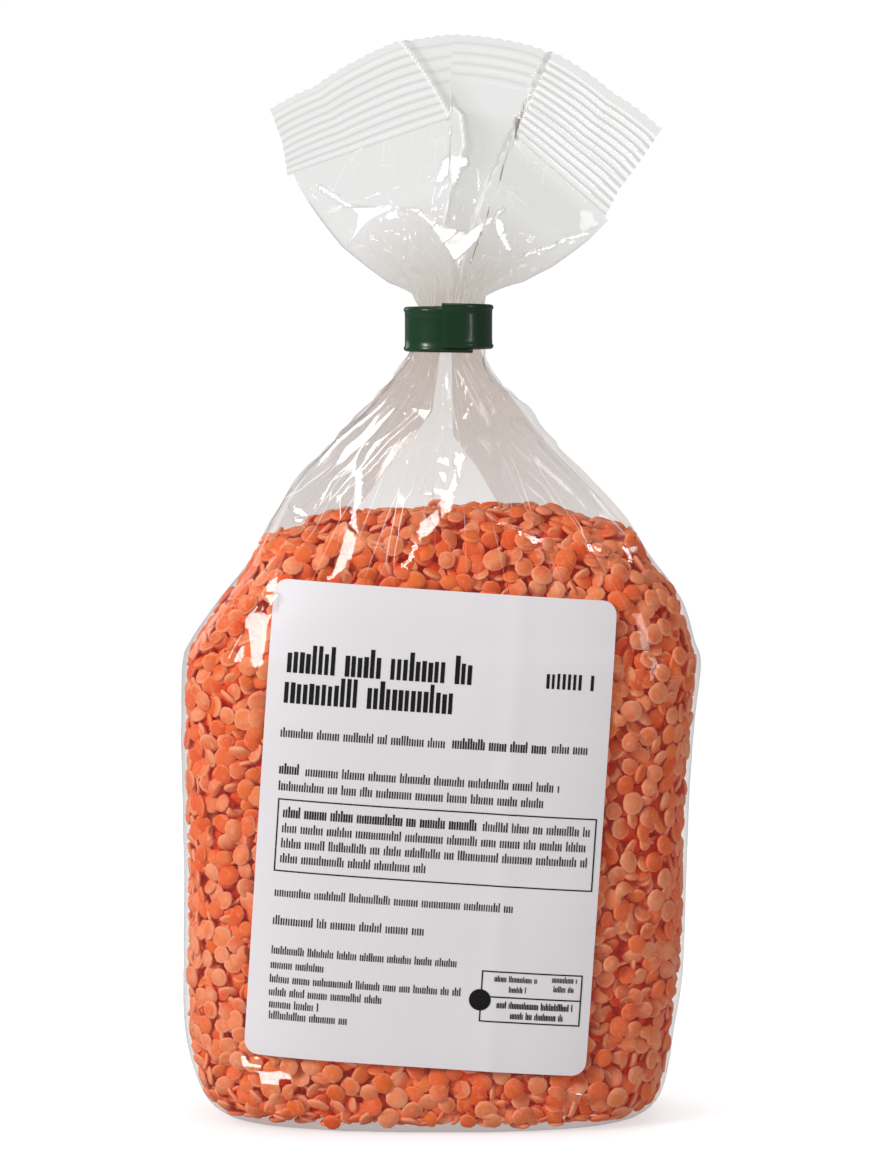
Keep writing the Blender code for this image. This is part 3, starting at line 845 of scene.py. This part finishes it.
def scatter(name, tree, surface, shape, material, **settings):
    """One kind of lentil over a surface, as a plain mesh."""
    host = bpy.data.objects.new(name + "_host", surface)
    bpy.context.scene.collection.objects.link(host)
    modifier = host.modifiers.new("scatter", "NODES")
    modifier.node_group = tree
    named = {s.name: s.identifier for s in tree.interface.items_tree if s.in_out == "INPUT"}
    modifier[named["Shape"]] = shape
    modifier[named["Material"]] = material
    for key, amount in settings.items():
        modifier[named[key.replace("_", " ").capitalize()]] = amount
    seen = host.evaluated_get(bpy.context.evaluated_depsgraph_get())
    mesh = bpy.data.meshes.new_from_object(seen)
    mesh.name = name
    bpy.data.objects.remove(host)
    mesh.shade_smooth()
    return put(name, mesh, material)


MOST_POINTS = 400000.0  # in a square metre, before those that lie too close are left out
# Kinds of lentil: shape, material and how their layer lies; sizes in metres, tilts in radians
OUTER = dict(spacing=0.0031, seed=3, depth=0.0004, depth_spread=0.0008)
BETWEEN = dict(spacing=0.0034, seed=8, depth=0.0014, depth_spread=0.0008)
BEHIND = dict(spacing=0.0036, seed=15, depth=0.0028, depth_spread=0.0008)
KINDS = (
    ("lentils_pressed", "flat_out", "pale lentil", OUTER, dict(pick_from=0.0, pick_to=0.34, tilt=0.65)),
    ("lentils_domed", "dome_out", "orange lentil", OUTER, dict(pick_from=0.34, pick_to=0.56, tilt=0.85)),
    ("lentils_leaning", "dome_out", "pale lentil", OUTER, dict(pick_from=0.56, pick_to=0.84, tilt=1.3)),
    ("lentils_whole", "whole", "amber lentil", OUTER, dict(pick_from=0.84, pick_to=0.91, tilt=0.9)),
    ("lentils_chips", "chip", "pale lentil", OUTER, dict(pick_from=0.91, pick_to=0.98, tilt=1.1)),
    ("lentils_between", "dome_out", "orange lentil", BETWEEN, dict(pick_from=0.0, pick_to=0.5, tilt=1.1)),
    ("lentils_on_edge", "flat_out", "pale lentil", BETWEEN, dict(pick_from=0.5, pick_to=1.01, tilt=1.45)),
    # The lentils behind wear darker tones: painted shade in the gaps
    ("lentils_behind", "coarse", "lentil in painted shade", BEHIND, dict(tilt=0.9)),
)


def make_lentils(materials):
    surface = heap_mesh("lentil surface", LENTIL_GAP)
    shapes = {}
    for name, form in (
        ("flat_out", dict(flat_out=True)),
        ("dome_out", dict()),
        ("whole", dict(whole=True)),
        ("chip", dict(chip=True)),
        ("coarse", dict(segments=8)),
    ):
        shapes[name] = bpy.data.objects.new("shape_" + name, lentil_mesh(name, **form))
        bpy.context.scene.collection.objects.link(shapes[name])
    tree = scatter_tree()
    made = []
    for name, shape, material, layer, own in KINDS:
        settings = {**layer, **own}
        made.append(scatter(name, tree, surface, shapes[shape], materials[material], **settings))
    for shape in shapes.values():
        bpy.data.objects.remove(shape)
    core = heap_mesh("lentil_core", LENTIL_GAP + CORE_DEPTH)
    core.shade_smooth()
    made.append(put("lentil_core", core, materials["lentil core"]))
    return made


# Label


def front_of_bag(x, z):
    """The film's place along Y at the front of the bag, with no bumps."""
    left, right, depth, squareness = (
        float(np.interp(z, SECTION_TABLE[:, 0], SECTION_TABLE[:, k])) for k in (1, 2, 3, 4)
    )
    share = min(abs(x) / (left if x < 0 else right), 1.0)
    y = -depth * (1 - share**squareness) ** (1 / squareness)
    return y - max(lump(x, y, z), 0.0)


def on_label(across, up, off):
    """A point off the front of the label, from distances along and up it from its middle."""
    x = LABEL_X + across * math.cos(LABEL_TURN) - up * math.sin(LABEL_TURN)
    z = LABEL_Z + across * math.sin(LABEL_TURN) + up * math.cos(LABEL_TURN)
    crease = 0.18 * math.exp(-(((across - 16.0) / 2.2) ** 2))
    return in_metres(x, front_of_bag(x, z) - off - crease, z)


def rounded_outline(width, height, corner, steps=6):
    points = []
    for index, (sx, sz) in enumerate(((1, 1), (-1, 1), (-1, -1), (1, -1))):
        cx, cz = sx * (width / 2 - corner), sz * (height / 2 - corner)
        for step in range(steps):
            turn = math.pi / 2 * (index + step / (steps - 1))
            points.append((cx + corner * math.cos(turn), cz + corner * math.sin(turn)))
    return points


def make_label(paper):
    shape = bmesh.new()
    outline = rounded_outline(LABEL_WIDTH, LABEL_HEIGHT, LABEL_CORNER)
    shape.faces.new([shape.verts.new((x, 0.0, z)) for x, z in outline])
    for axis, size, cuts in ((0, LABEL_WIDTH, 56), (2, LABEL_HEIGHT, 72)):
        direction = Vector((axis == 0, 0, axis == 2))
        for step in range(1, cuts):
            everything = list(shape.verts) + list(shape.edges) + list(shape.faces)
            place = direction * (size * (step / cuts - 0.5))
            bmesh.ops.bisect_plane(shape, geom=everything, plane_co=place, plane_no=direction)
    for vertex in shape.verts:
        vertex.co = on_label(vertex.co.x, vertex.co.z, LABEL_OFF)
    bmesh.ops.recalc_face_normals(shape, faces=shape.faces)
    if sum(face.normal.y for face in shape.faces) > 0:
        bmesh.ops.reverse_faces(shape, faces=shape.faces)
    mesh = bpy.data.meshes.new("label_sheet")
    shape.to_mesh(mesh)
    shape.free()
    made = put("label_sheet", mesh, paper)
    wall = made.modifiers.new("paper", "SOLIDIFY")
    wall.thickness = LABEL_THICK * MM
    wall.offset = 1.0
    seen = made.evaluated_get(bpy.context.evaluated_depsgraph_get())
    solid = bpy.data.meshes.new_from_object(seen)
    made.modifiers.clear()
    made.data = solid
    smooth(solid, math.radians(35))
    return made


# Where the print's own zero lies, from the label's top left corner
PRINT_ACROSS, PRINT_DOWN = 1.75, -0.45
# Rows of print from that zero: across, down, length, height of its marks and their weight
PRINT_ROWS = (
    (2.2, 17.6, 40.0, 5.6, 1.0),
    (2.0, 24.0, 35.6, 5.6, 1.0),
    (56.9, 17.6, 10.8, 4.8, 0.62),
    (1.8, 32.4, 35.0, 2.3, 0.55),
    (38.0, 32.3, 19.8, 2.3, 0.85),
    (59.0, 32.0, 8.0, 2.3, 0.55),
    (2.0, 40.2, 4.6, 2.3, 0.85),
    (7.6, 40.3, 54.0, 2.3, 0.55),
    (2.1, 43.7, 56.0, 2.3, 0.55),
    (3.4, 49.4, 41.0, 2.3, 0.9),
    (45.6, 49.3, 22.8, 2.3, 0.55),
    (3.4, 52.6, 64.8, 2.3, 0.55),
    (3.4, 55.8, 64.8, 2.3, 0.55),
    (3.4, 59.0, 30.8, 2.3, 0.55),
    (2.7, 66.3, 50.6, 2.2, 0.5),
    (2.7, 72.3, 32.4, 2.3, 0.5),
    (2.8, 78.7, 39.6, 2.0, 0.55),
    (2.8, 81.8, 11.6, 2.0, 0.55),
    (2.8, 84.8, 40.8, 2.0, 0.55),
    (2.8, 87.6, 24.0, 2.0, 0.55),
    (3.0, 90.2, 10.6, 2.0, 0.55),
    (3.1, 92.6, 16.6, 2.0, 0.55),
    (50.2, 81.4, 9.2, 1.4, 0.7),
    (53.4, 83.6, 3.8, 1.4, 0.7),
    (62.4, 81.0, 5.4, 1.4, 0.7),
    (62.8, 83.0, 4.6, 1.4, 0.7),
    (51.0, 87.0, 16.4, 1.5, 0.9),
    (54.0, 89.2, 11.4, 1.5, 0.9),
)
# Outlines of print: left, top, right, bottom
PRINT_BOXES = ((2.3, 46.4, 69.4, 61.6), (47.6, 79.8, 68.7, 85.2), (47.6, 85.2, 68.7, 90.5))
LINE_WIDTH = 0.28
DISC_AT, DISC_RADIUS, DISC_POINTS = (47.4, 86.0), 2.3, 28


def print_spot(across, down, lift):
    """A point of the print, from distances across and down from its zero."""
    across, down = PRINT_ACROSS + across, PRINT_DOWN + down
    return on_label(across - LABEL_WIDTH / 2, LABEL_HEIGHT / 2 - down, lift)


def print_block(shape, left, top, right, bottom, off=INK_OFF):
    """A thin slab of ink on the label, between distances from the print's zero."""
    count = max(1, round((right - left) / INK_STEP))
    count_down = max(1, round((bottom - top) / INK_STEP))
    base = LABEL_OFF + LABEL_THICK + off
    grids = []
    for lift in (base, base + INK_THICK):
        grid = []
        for r in range(count_down + 1):
            down = top + (bottom - top) * r / count_down
            row = []
            for c in range(count + 1):
                across = left + (right - left) * c / count
                row.append(shape.verts.new(print_spot(across, down, lift)))
            grid.append(row)
        grids.append(grid)
    close_slab(shape, *grids)


def close_slab(shape, low, high):
    """Faces of both sheets of a slab and round its rim."""
    rows, columns = len(low) - 1, len(low[0]) - 1
    for r in range(rows):
        for c in range(columns):
            shape.faces.new((high[r][c], high[r + 1][c], high[r + 1][c + 1], high[r][c + 1]))
            shape.faces.new((low[r][c], low[r][c + 1], low[r + 1][c + 1], low[r + 1][c]))
    rim = [(0, c) for c in range(columns)] + [(r, columns) for r in range(rows)]
    rim += [(rows, c) for c in range(columns, 0, -1)] + [(r, 0) for r in range(rows, 0, -1)]
    for (r, c), (s, d) in zip(rim, rim[1:] + rim[:1]):
        shape.faces.new((low[r][c], high[r][c], high[s][d], low[s][d]))


def print_row(shape, draw, across, down, length, height, weight):
    """A row of upright marks in groups, as print looks from too far away to read."""
    pitch = height * 0.235
    stroke = height * (0.07 + 0.09 * weight)
    low_mark = height * (0.5 + 0.28 * weight)
    foot = down + height * 0.36
    place = across
    left_in_group = draw.randint(6, 18)
    while place + stroke < across + length:
        if left_in_group == 0:
            place += pitch * 1.3
            left_in_group = draw.randint(4, 18)
            continue
        tall = low_mark * draw.choice((1.0, 1.0, 1.0, 0.94, 1.36))
        print_block(shape, place, foot - tall, place + stroke * draw.uniform(0.9, 1.1), foot)
        place += pitch
        left_in_group -= 1


def print_outline(shape, left, top, right, bottom):
    half = LINE_WIDTH / 2
    for y in (top, bottom):
        print_block(shape, left - half, y - half, right + half, y + half)
    for x in (left, right):
        print_block(shape, x - half, top + half, x + half, bottom - half)


def print_disc(shape):
    """A plain round dot, as one closed slab."""
    base = LABEL_OFF + LABEL_THICK + INK_OFF + INK_THICK
    rings = []
    for lift in (base, base + INK_THICK):
        ring = []
        for step in range(DISC_POINTS):
            turn = 2 * math.pi * step / DISC_POINTS
            across = DISC_AT[0] + DISC_RADIUS * math.cos(turn)
            down = DISC_AT[1] - DISC_RADIUS * math.sin(turn)
            ring.append(shape.verts.new(print_spot(across, down, lift)))
        rings.append(ring)
    shape.faces.new(rings[1])
    shape.faces.new(list(reversed(rings[0])))
    bridge(shape, *rings)


def make_print(ink):
    shape = bmesh.new()
    draw = random.Random(21)
    for row in PRINT_ROWS:
        print_row(shape, draw, *row)
    for box in PRINT_BOXES:
        print_outline(shape, *box)
    print_disc(shape)
    return put("label_print", mesh_of(shape, "label_print"), ink)


# Clip band


def band_profile():
    """Across the strip: a thin web between two round beads, as (out, up) points."""
    half, web = BAND_HEIGHT / 2, BAND_THICK / 2
    radius = BEAD_THICK / 2
    middle = half - radius
    start = math.asin(min(1.0, web / radius))
    points = []
    for sign in (1, -1):
        points += [(web * sign, up * middle * sign) for up in (-0.6, -0.2, 0.2, 0.6)]
        for step in range(BEAD_POINTS):
            turn = -start * 1.6 + (math.pi + start * 3.2) * step / (BEAD_POINTS - 1)
            points.append((radius * math.cos(turn) * sign, (middle + radius * math.sin(turn)) * sign))
    return points


def band_path():
    """Once round the neck from the inner end, by the left side and the back, to the end on top of it."""
    whole = 2 * math.pi + BAND_INNER_END - BAND_OUTER_END
    points = []
    for step in range(BAND_POINTS):
        share = step / (BAND_POINTS - 1)
        turn = BAND_INNER_END - share * whole
        wide = BAND_OVERLAP_STEP * float(smooth_step(0.62, 0.88, share))
        x = (BAND_HALF_WIDTH + wide * 0.4) * math.sin(turn)
        y = -(BAND_HALF_DEPTH + wide) * math.cos(turn)
        points.append(Vector((BAND_X + x, y, NECK_Z - BAND_LEAN / 2 + BAND_LEAN * share)))
    return points


def make_band(plastic):
    path = band_path()
    shape = bmesh.new()
    rings = []
    for index, point in enumerate(path):
        before, after = path[max(index - 1, 0)], path[min(index + 1, len(path) - 1)]
        along = after - before
        out = Vector((-along.y, along.x, 0)).normalized()
        dent = 0.12 * noise.noise(Vector((index * 0.09, 0.0, 4.0)))
        ring = []
        for a, b in band_profile():
            web_dent = dent * (1 - min(1.0, abs(b) / (BAND_HEIGHT / 2)))
            ring.append(shape.verts.new(in_metres(*(point + out * (a + web_dent) + Vector((0, 0, b))))))
        rings.append(ring)
    for first, second in zip(rings, rings[1:]):
        bridge(shape, first, second)
    for end in (rings[0], rings[-1]):
        shape.faces.new(end)
    mesh = mesh_of(shape, "band_strip")
    smooth(mesh)
    return put("band_strip", mesh, plastic)


# Materials

WHITE = (1.0, 1.0, 1.0)
# Painted glow: a faint red light from the lentils, in place of light passing through them
LENTIL_PAINTED_GLOW = (1.0, 0.06, 0.008)
SPECK_COLOUR = (0.95, 0.56, 0.36)
# Masks of flour on a lentil: how fine their clouds are, and where these fade in and are full
SPECKLES = (("Specks", 900.0, 0.55, 0.72), ("Patches", 260.0, 0.38, 0.66))
# Kinds of lentil: two tones, the colour and share of the flour on them, and their painted glow, in place of
# light passing through them
LENTIL_TONES = {
    "pale lentil": ((0.82, 0.14, 0.034), (0.90, 0.24, 0.082), (0.95, 0.43, 0.25), 0.48, 0.02),
    "orange lentil": ((0.78, 0.09, 0.014), (0.86, 0.15, 0.030), (0.92, 0.31, 0.14), 0.28, 0.04),
    "amber lentil": ((0.76, 0.12, 0.012), (0.84, 0.17, 0.030), (0.90, 0.33, 0.15), 0.26, 0.04),
    # Painted shade: the lentils behind take darker tones, as the shade in the gaps between those in front
    "lentil in painted shade": ((0.70, 0.052, 0.007), (0.78, 0.080, 0.014), (0.82, 0.15, 0.05), 0.15, 0.10),
}
# Painted glow of the core, in place of light passing through the lentils
CORE_PAINTED_GLOW = 0.08


def shader_material(name):
    made = bpy.data.materials.new(name)
    made.use_nodes = True
    made.cycles.emission_sampling = "NONE"
    return made, made.node_tree, made.node_tree.nodes["Principled BSDF"]


def object_place(tree):
    return add_node(tree, "ShaderNodeTexCoord").outputs["Object"]


def clouds(tree, scale, detail=2.0):
    """Soft noise in the object's own space."""
    inputs = {"Vector": object_place(tree), "Scale": scale, "Detail": detail}
    return add_node(tree, "ShaderNodeTexNoise", inputs).outputs["Fac"]


def reckon(tree, operation, *sources):
    return add_node(tree, "ShaderNodeMath", dict(enumerate(sources)), operation=operation).outputs[0]


def spread(tree, source, low=0.0, high=1.0, start=0.0, end=1.0):
    """Turns the range from low to high into the range from start to end."""
    inputs = {"Value": source, "From Min": low, "From Max": high, "To Min": start, "To Max": end}
    return add_node(tree, "ShaderNodeMapRange", inputs).outputs["Result"]


def mix_colour(tree, factor, first, second, blend="MIX"):
    inputs = {0: factor, 6: first, 7: second}
    return add_node(tree, "ShaderNodeMix", inputs, data_type="RGBA", blend_type=blend).outputs[2]


def mix_shaders(tree, factor, first, second):
    inputs = {0: factor, 1: first.outputs[0], 2: second.outputs[0]}
    return add_node(tree, "ShaderNodeMixShader", inputs)


def bumped(tree, height, strength, distance):
    inputs = {"Height": height, "Strength": strength, "Distance": distance}
    return add_node(tree, "ShaderNodeBump", inputs).outputs["Normal"]


def mark(tree, name):
    return add_node(tree, "ShaderNodeAttribute", attribute_name=name).outputs["Fac"]


def mask_group(name, *masks):
    group = bpy.data.node_groups.new(name, "ShaderNodeTree")
    for mask in masks:
        group.interface.new_socket(mask, in_out="OUTPUT", socket_type="NodeSocketFloat")
    return group


def speckle_group():
    """Floury specks and soft patches, as masks from 0 to 1."""
    group = mask_group("floury specks", *(row[0] for row in SPECKLES))
    masks = {name: spread(group, clouds(group, fine, 3.0), low, high) for name, fine, low, high in SPECKLES}
    add_node(group, "NodeGroupOutput", masks)
    return group


def lentil_material(name, specks, low, high, floury, flour_share, painted_glow):
    """Dry pulse: a tone of its own for each, floury specks, and a painted glow in place of light passing
    through it.
    """
    made, tree, shader = shader_material(name)
    flour = add_node(tree, "ShaderNodeGroup", node_tree=specks).outputs
    own = mix_colour(tree, mark(tree, "tone"), low, high)
    dusted = mix_colour(tree, reckon(tree, "MULTIPLY", flour["Patches"], flour_share), own, floury)
    light = reckon(tree, "MULTIPLY", flour["Specks"], flour_share * 0.8)
    dotted = mix_colour(tree, light, dusted, SPECK_COLOUR)
    rim = spread(tree, mark(tree, "rim"), 0.75, 1.0, 0.0, 0.6)
    surface = {
        "Base Color": mix_colour(tree, rim, dotted, floury),
        "Roughness": 0.62,
        "Specular IOR Level": 0.12,
        "Emission Color": LENTIL_PAINTED_GLOW,
        "Emission Strength": painted_glow,
        "Normal": bumped(tree, flour["Patches"], 0.25, 0.0003),
    }
    fill(tree, shader, surface)
    return made


# Creases that run out from the neck: how many, how close along it, their width, and where they fade (metres)
CREASES_ROUND, CREASES_ALONG, CREASE_WIDTH = 8.0, 11.0, 0.010
CREASE_START, CREASE_END = 0.108, 0.130
CREASE_CLOUDS, CREASE_PATCHES = 70.0, (0.42, 0.62)
SEAL_NEAR, SEAL_AT = 0.040, 0.045
BODY_END, BODY_NEAR = 0.175, 0.170


def crease_group():
    """Thin straight creases of the loose film, which run out from the neck, as a mask from 0 to 1."""
    group = mask_group("film creases", "Lines")
    place = object_place(group)

    def vector(operation, inputs, result="Vector"):
        return add_node(group, "ShaderNodeVectorMath", inputs, operation=operation).outputs[result]

    away = vector("SUBTRACT", {0: place, 1: in_metres(NECK_X, 0.0, NECK_Z)})
    length = vector("LENGTH", {0: away}, "Value")
    course = vector("SCALE", {0: vector("NORMALIZE", {0: away}), "Scale": CREASES_ROUND})
    along = reckon(group, "MULTIPLY", length, CREASES_ALONG)
    inputs = {"Vector": course, "W": along, "Scale": 1.0}
    kind = {"voronoi_dimensions": "4D", "feature": "DISTANCE_TO_EDGE"}
    cells = add_node(group, "ShaderNodeTexVoronoi", inputs, **kind)
    line = spread(group, cells.outputs["Distance"], 0.0, CREASE_WIDTH, 1.0, 0.0)
    patchy = spread(group, clouds(group, CREASE_CLOUDS), *CREASE_PATCHES)
    height = add_node(group, "ShaderNodeSeparateXYZ", {"Vector": place}).outputs["Z"]
    loose = spread(group, height, CREASE_START, CREASE_END)
    below_seal = spread(group, length, SEAL_AT, SEAL_NEAR)
    on_body = spread(group, height, BODY_END, BODY_NEAR)
    shown = reckon(group, "MULTIPLY", loose, reckon(group, "MAXIMUM", below_seal, on_body))
    mask = reckon(group, "MULTIPLY", reckon(group, "MULTIPLY", line, patchy), shown)
    add_node(group, "NodeGroupOutput", {"Lines": mask})
    return group


# The film's tint seen edge on and in its painted shade marks, where its neck tint is full, and how much it
# mirrors seen straight on and edge on
EDGE_TINT, SHADE_TINT = (0.90, 0.885, 0.875), (0.84, 0.84, 0.83)
NECK_TINT_FULL = 0.008
MIRROR_SHARE = (0.025, 0.40)
# The film's haze and white marks glow faintly: painted light that keeps them white
VEIL_PAINTED_GLOW = 0.3
# Kinds of film: tint of a layer, tint near the neck and its reach, haze, roughness and white of creases,
# which is partly the film whitened there and partly painted highlight
FILMS = {
    "clear film": ((0.93, 0.928, 0.925), (0.84, 0.81, 0.795), 0.062, 0.005, 0.06, 0.7),
    "clear film of the gusset": ((0.966, 0.96, 0.957), (0.94, 0.92, 0.905), 0.05, 0.01, 0.08, 0.5),
    "clear film of the fan": ((0.908, 0.908, 0.905), (0.71, 0.67, 0.63), 0.030, 0.01, 0.07, 0.4),
}


def film_material(name, creases, layer_tint, neck_tint, neck_reach, haze, rough, creased):
    """Thin glossy film: clear, greyer seen edge on, browner where it is gathered, with a faint haze; its
    marked shade is painted shade, and its white creases and marks are partly painted highlight, with a
    painted glow.
    """
    made, tree, shader = shader_material(name)
    ends = {0: object_place(tree), 1: in_metres(NECK_X, 0.0, NECK_Z)}
    from_neck = add_node(tree, "ShaderNodeVectorMath", ends, operation="DISTANCE").outputs["Value"]
    tint = mix_colour(tree, spread(tree, from_neck, neck_reach, NECK_TINT_FULL), layer_tint, neck_tint)
    edge = add_node(tree, "ShaderNodeLayerWeight", {"Blend": 0.35}).outputs["Facing"]
    tint = mix_colour(tree, edge, tint, EDGE_TINT)
    # Painted shade where the film is marked as shaded: at the feet of the seal's ribs and beside its folds
    tint = mix_colour(tree, mark(tree, "shade"), tint, SHADE_TINT, "MULTIPLY")
    clear = add_node(tree, "ShaderNodeBsdfTransparent", {"Color": tint})
    ripple = bumped(tree, clouds(tree, 160.0), 0.08, 0.0008)
    mirror = {"Base Color": WHITE, "Metallic": 1.0, "Roughness": rough, "Normal": ripple}
    gloss = add_node(tree, "ShaderNodeBsdfPrincipled", mirror)
    edge_on = add_node(tree, "ShaderNodeLayerWeight", {"Blend": 0.5, "Normal": ripple}).outputs["Facing"]
    mirrored = spread(tree, reckon(tree, "POWER", edge_on, 4.0), 0.0, 1.0, *MIRROR_SHARE)
    shine = mix_shaders(tree, mirrored, clear, gloss)
    veil = {"Base Color": (0.9, 0.9, 0.9), "Roughness": 0.5, "Emission Color": WHITE}
    fill(tree, shader, {**veil, "Emission Strength": VEIL_PAINTED_GLOW})
    # White along the creases and on the marked places: partly the film whitened in its creases, partly
    # painted highlight, as on the backs of the seal's ribs
    lines = add_node(tree, "ShaderNodeGroup", node_tree=creases).outputs["Lines"]
    whitened = reckon(tree, "MULTIPLY_ADD", lines, creased, haze)
    covered = mix_shaders(tree, reckon(tree, "ADD", whitened, mark(tree, "white")), shine, shader)
    fill(tree, tree.nodes["Material Output"], {"Surface": covered.outputs[0]})
    return made


def cloudy_material(name, fine, tones, surface, bump=None):
    """A colour that drifts between two tones in soft clouds, with a fine bump where one is given."""
    made, tree, shader = shader_material(name)
    fill(tree, shader, {"Base Color": mix_colour(tree, clouds(tree, *fine), *tones), **surface})
    if bump:
        bump_fine, strength, distance = bump
        fill(tree, shader, {"Normal": bumped(tree, clouds(tree, *bump_fine), strength, distance)})
    return made


def paper_material():
    """Coated paper with a faint lilac cast and a fine tooth."""
    tones = ((0.70, 0.668, 0.688), (0.74, 0.706, 0.727))
    return cloudy_material("label paper", (40.0,), tones, {"Roughness": 0.42}, ((2600.0,), 0.06, 0.0001))


def ink_material():
    tones = ((0.004, 0.004, 0.005), (0.012, 0.011, 0.013))
    return cloudy_material("label ink", (900.0,), tones, {"Roughness": 0.5, "Specular IOR Level": 0.2})


def plastic_material():
    """Glossy dark green plastic with fine wear, and a soft grain in its shine."""
    fine = (300.0, 4.0)
    tones = ((0.005, 0.030, 0.011), (0.010, 0.042, 0.017))
    surface = {"Roughness": 0.26, "Specular IOR Level": 0.3, "Coat Weight": 0.15}
    return cloudy_material("green plastic", fine, tones, surface, (fine, 0.2, 0.0002))


# The core's dark red is painted shade in the gaps between the lentils, and its glow is painted light in place
# of light passing through them
def core_material():
    made, tree, shader = shader_material("lentil core")
    inputs = {"Vector": object_place(tree), "Scale": 300.0}
    cells = add_node(tree, "ShaderNodeTexVoronoi", inputs).outputs["Distance"]
    surface = {
        "Base Color": mix_colour(tree, cells, (0.55, 0.036, 0.005), (0.42, 0.022, 0.003)),
        "Roughness": 0.8,
        "Emission Color": LENTIL_PAINTED_GLOW,
        "Emission Strength": CORE_PAINTED_GLOW,
    }
    fill(tree, shader, surface)
    return made


# Studio

# How bright the sweep looks, how brightly it lights the bag, and how bright it is where it is mirrored
STAGE_SHOWN, STAGE_GLOW, STAGE_MIRRORED = 0.84, 0.34, 0.05
# The painted shade where the bag meets the floor: how far it reaches, in metres, and what it leaves of the
# glow
CORNER_REACH, CORNER_SHADE = 0.025, 0.72
# The sweep, in metres: half its width, its front edge, where its curve starts, the curve's radius, the height
SWEEP_HALF, SWEEP_FRONT, SWEEP_BACK, SWEEP_CURVE, SWEEP_TALL = 2.4, -2.6, 1.3, 0.7, 2.6
SWEEP_STEPS, SWEEP_BELOW = 24, 0.0001


def make_stage():
    """A pale sweep: floor and backdrop in one curve, bright enough to read as plain white, with painted shade
    where the bag meets the floor.
    """
    made, tree, shader = shader_material("pale sweep")
    sight = add_node(tree, "ShaderNodeLightPath").outputs
    shown = spread(tree, sight["Is Camera Ray"], 0.0, 1.0, STAGE_GLOW, STAGE_SHOWN)
    mirrored = reckon(tree, "MULTIPLY_ADD", sight["Is Glossy Ray"], STAGE_MIRRORED - STAGE_GLOW, shown)
    # Painted shade: the sweep's glow is dimmed where the bag meets the floor
    corner = add_node(tree, "ShaderNodeAmbientOcclusion", {"Distance": CORNER_REACH}, samples=3)
    shaded = spread(tree, corner.outputs["AO"], 0.0, 1.0, CORNER_SHADE)
    surface = {
        "Base Color": (0.34, 0.34, 0.34),
        "Roughness": 0.9,
        "Specular IOR Level": 0.1,
        "Emission Color": WHITE,
        "Emission Strength": reckon(tree, "MULTIPLY", mirrored, shaded),
    }
    fill(tree, shader, surface)
    outline = [(SWEEP_FRONT, 0.0), (SWEEP_BACK, 0.0)]
    for step in range(1, SWEEP_STEPS + 1):
        turn = math.pi / 2 * step / SWEEP_STEPS
        outline.append((SWEEP_BACK + SWEEP_CURVE * math.sin(turn), SWEEP_CURVE * (1 - math.cos(turn))))
    outline.append((SWEEP_BACK + SWEEP_CURVE, SWEEP_TALL))
    mesh = bpy.data.meshes.new("sweep")
    points = [(x, y, z - SWEEP_BELOW) for y, z in outline for x in (-SWEEP_HALF, SWEEP_HALF)]
    faces = [(2 * i, 2 * i + 1, 2 * i + 3, 2 * i + 2) for i in range(len(outline) - 1)]
    mesh.from_pydata(points, [], faces)
    mesh.shade_smooth()
    put("sweep", mesh, made)


# Softboxes: name, place, width, height, power in watts, and whether shiny things mirror them
LIGHTS_AIM = Vector((0.0, 0.0, 0.12))
WORLD_STRENGTH = 0.24
LIGHTS = (
    ("key left", KEY_AT, 0.20, 0.36, 6.8, True),
    ("soft left", Vector((-1.15, -0.90, 0.75)), 0.90, 0.90, 11.5, False),
    ("fill right", Vector((0.95, -0.75, 0.40)), 0.14, 0.56, 1.9, True),
    ("top", Vector((0.10, 0.10, 1.25)), 0.60, 0.50, 5.0, True),
    ("back left", Vector((-0.80, 0.60, 0.50)), 0.40, 0.60, 1.8, True),
)


def make_lights():
    for name, place, width, height, power, mirrored in LIGHTS:
        data = bpy.data.lights.new(name, "AREA")
        data.shape = "RECTANGLE"
        data.size, data.size_y = width, height
        data.energy = power
        lamp = bpy.data.objects.new(name, data)
        lamp.location = place
        lamp.visible_glossy = mirrored
        aim = LIGHTS_AIM - place
        lamp.rotation_euler = aim.to_track_quat("-Z", "Y").to_euler()
        bpy.context.scene.collection.objects.link(lamp)
    world = bpy.data.worlds.new("studio")
    world.use_nodes = True
    ground = world.node_tree.nodes["Background"]
    ground.inputs["Color"].default_value = (1.0, 1.0, 1.0, 1.0)
    ground.inputs["Strength"].default_value = WORLD_STRENGTH
    bpy.context.scene.world = world


def make_camera():
    data = bpy.data.cameras.new("camera")
    data.lens = CAMERA_LENS
    data.clip_start, data.clip_end = 0.01, 50.0
    camera = bpy.data.objects.new("camera", data)
    camera.location = CAMERA_AT
    camera.rotation_euler = (CAMERA_AIM - CAMERA_AT).to_track_quat("-Z", "Y").to_euler()
    bpy.context.scene.collection.objects.link(camera)
    bpy.context.scene.camera = camera


def make_all():
    specks = speckle_group()
    materials = {name: lentil_material(name, specks, *tones) for name, tones in LENTIL_TONES.items()}
    materials["lentil core"] = core_material()
    creases = crease_group()
    body_film, tuck_film, fan_film = (film_material(name, creases, *film) for name, film in FILMS.items())
    pieces = (
        ([make_body_film(body_film), make_fan_film(fan_film), *make_tucks(tuck_film)], "bag", "clear_film"),
        (make_lentils(materials), "bag", "lentils"),
        ([make_label(paper_material())], "label", "label_paper"),
        ([make_print(ink_material())], "label", "label_ink"),
        ([make_band(plastic_material())], "clip_band", "green_plastic"),
    )
    for group, node, slot in pieces:
        for piece in group:
            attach(piece, "root")
            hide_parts(node)


make_all()
make_stage()
make_lights()
make_camera()
bpy.context.scene.view_settings.view_transform = "Standard"
bpy.context.scene.cycles.transparent_max_bounces = 40
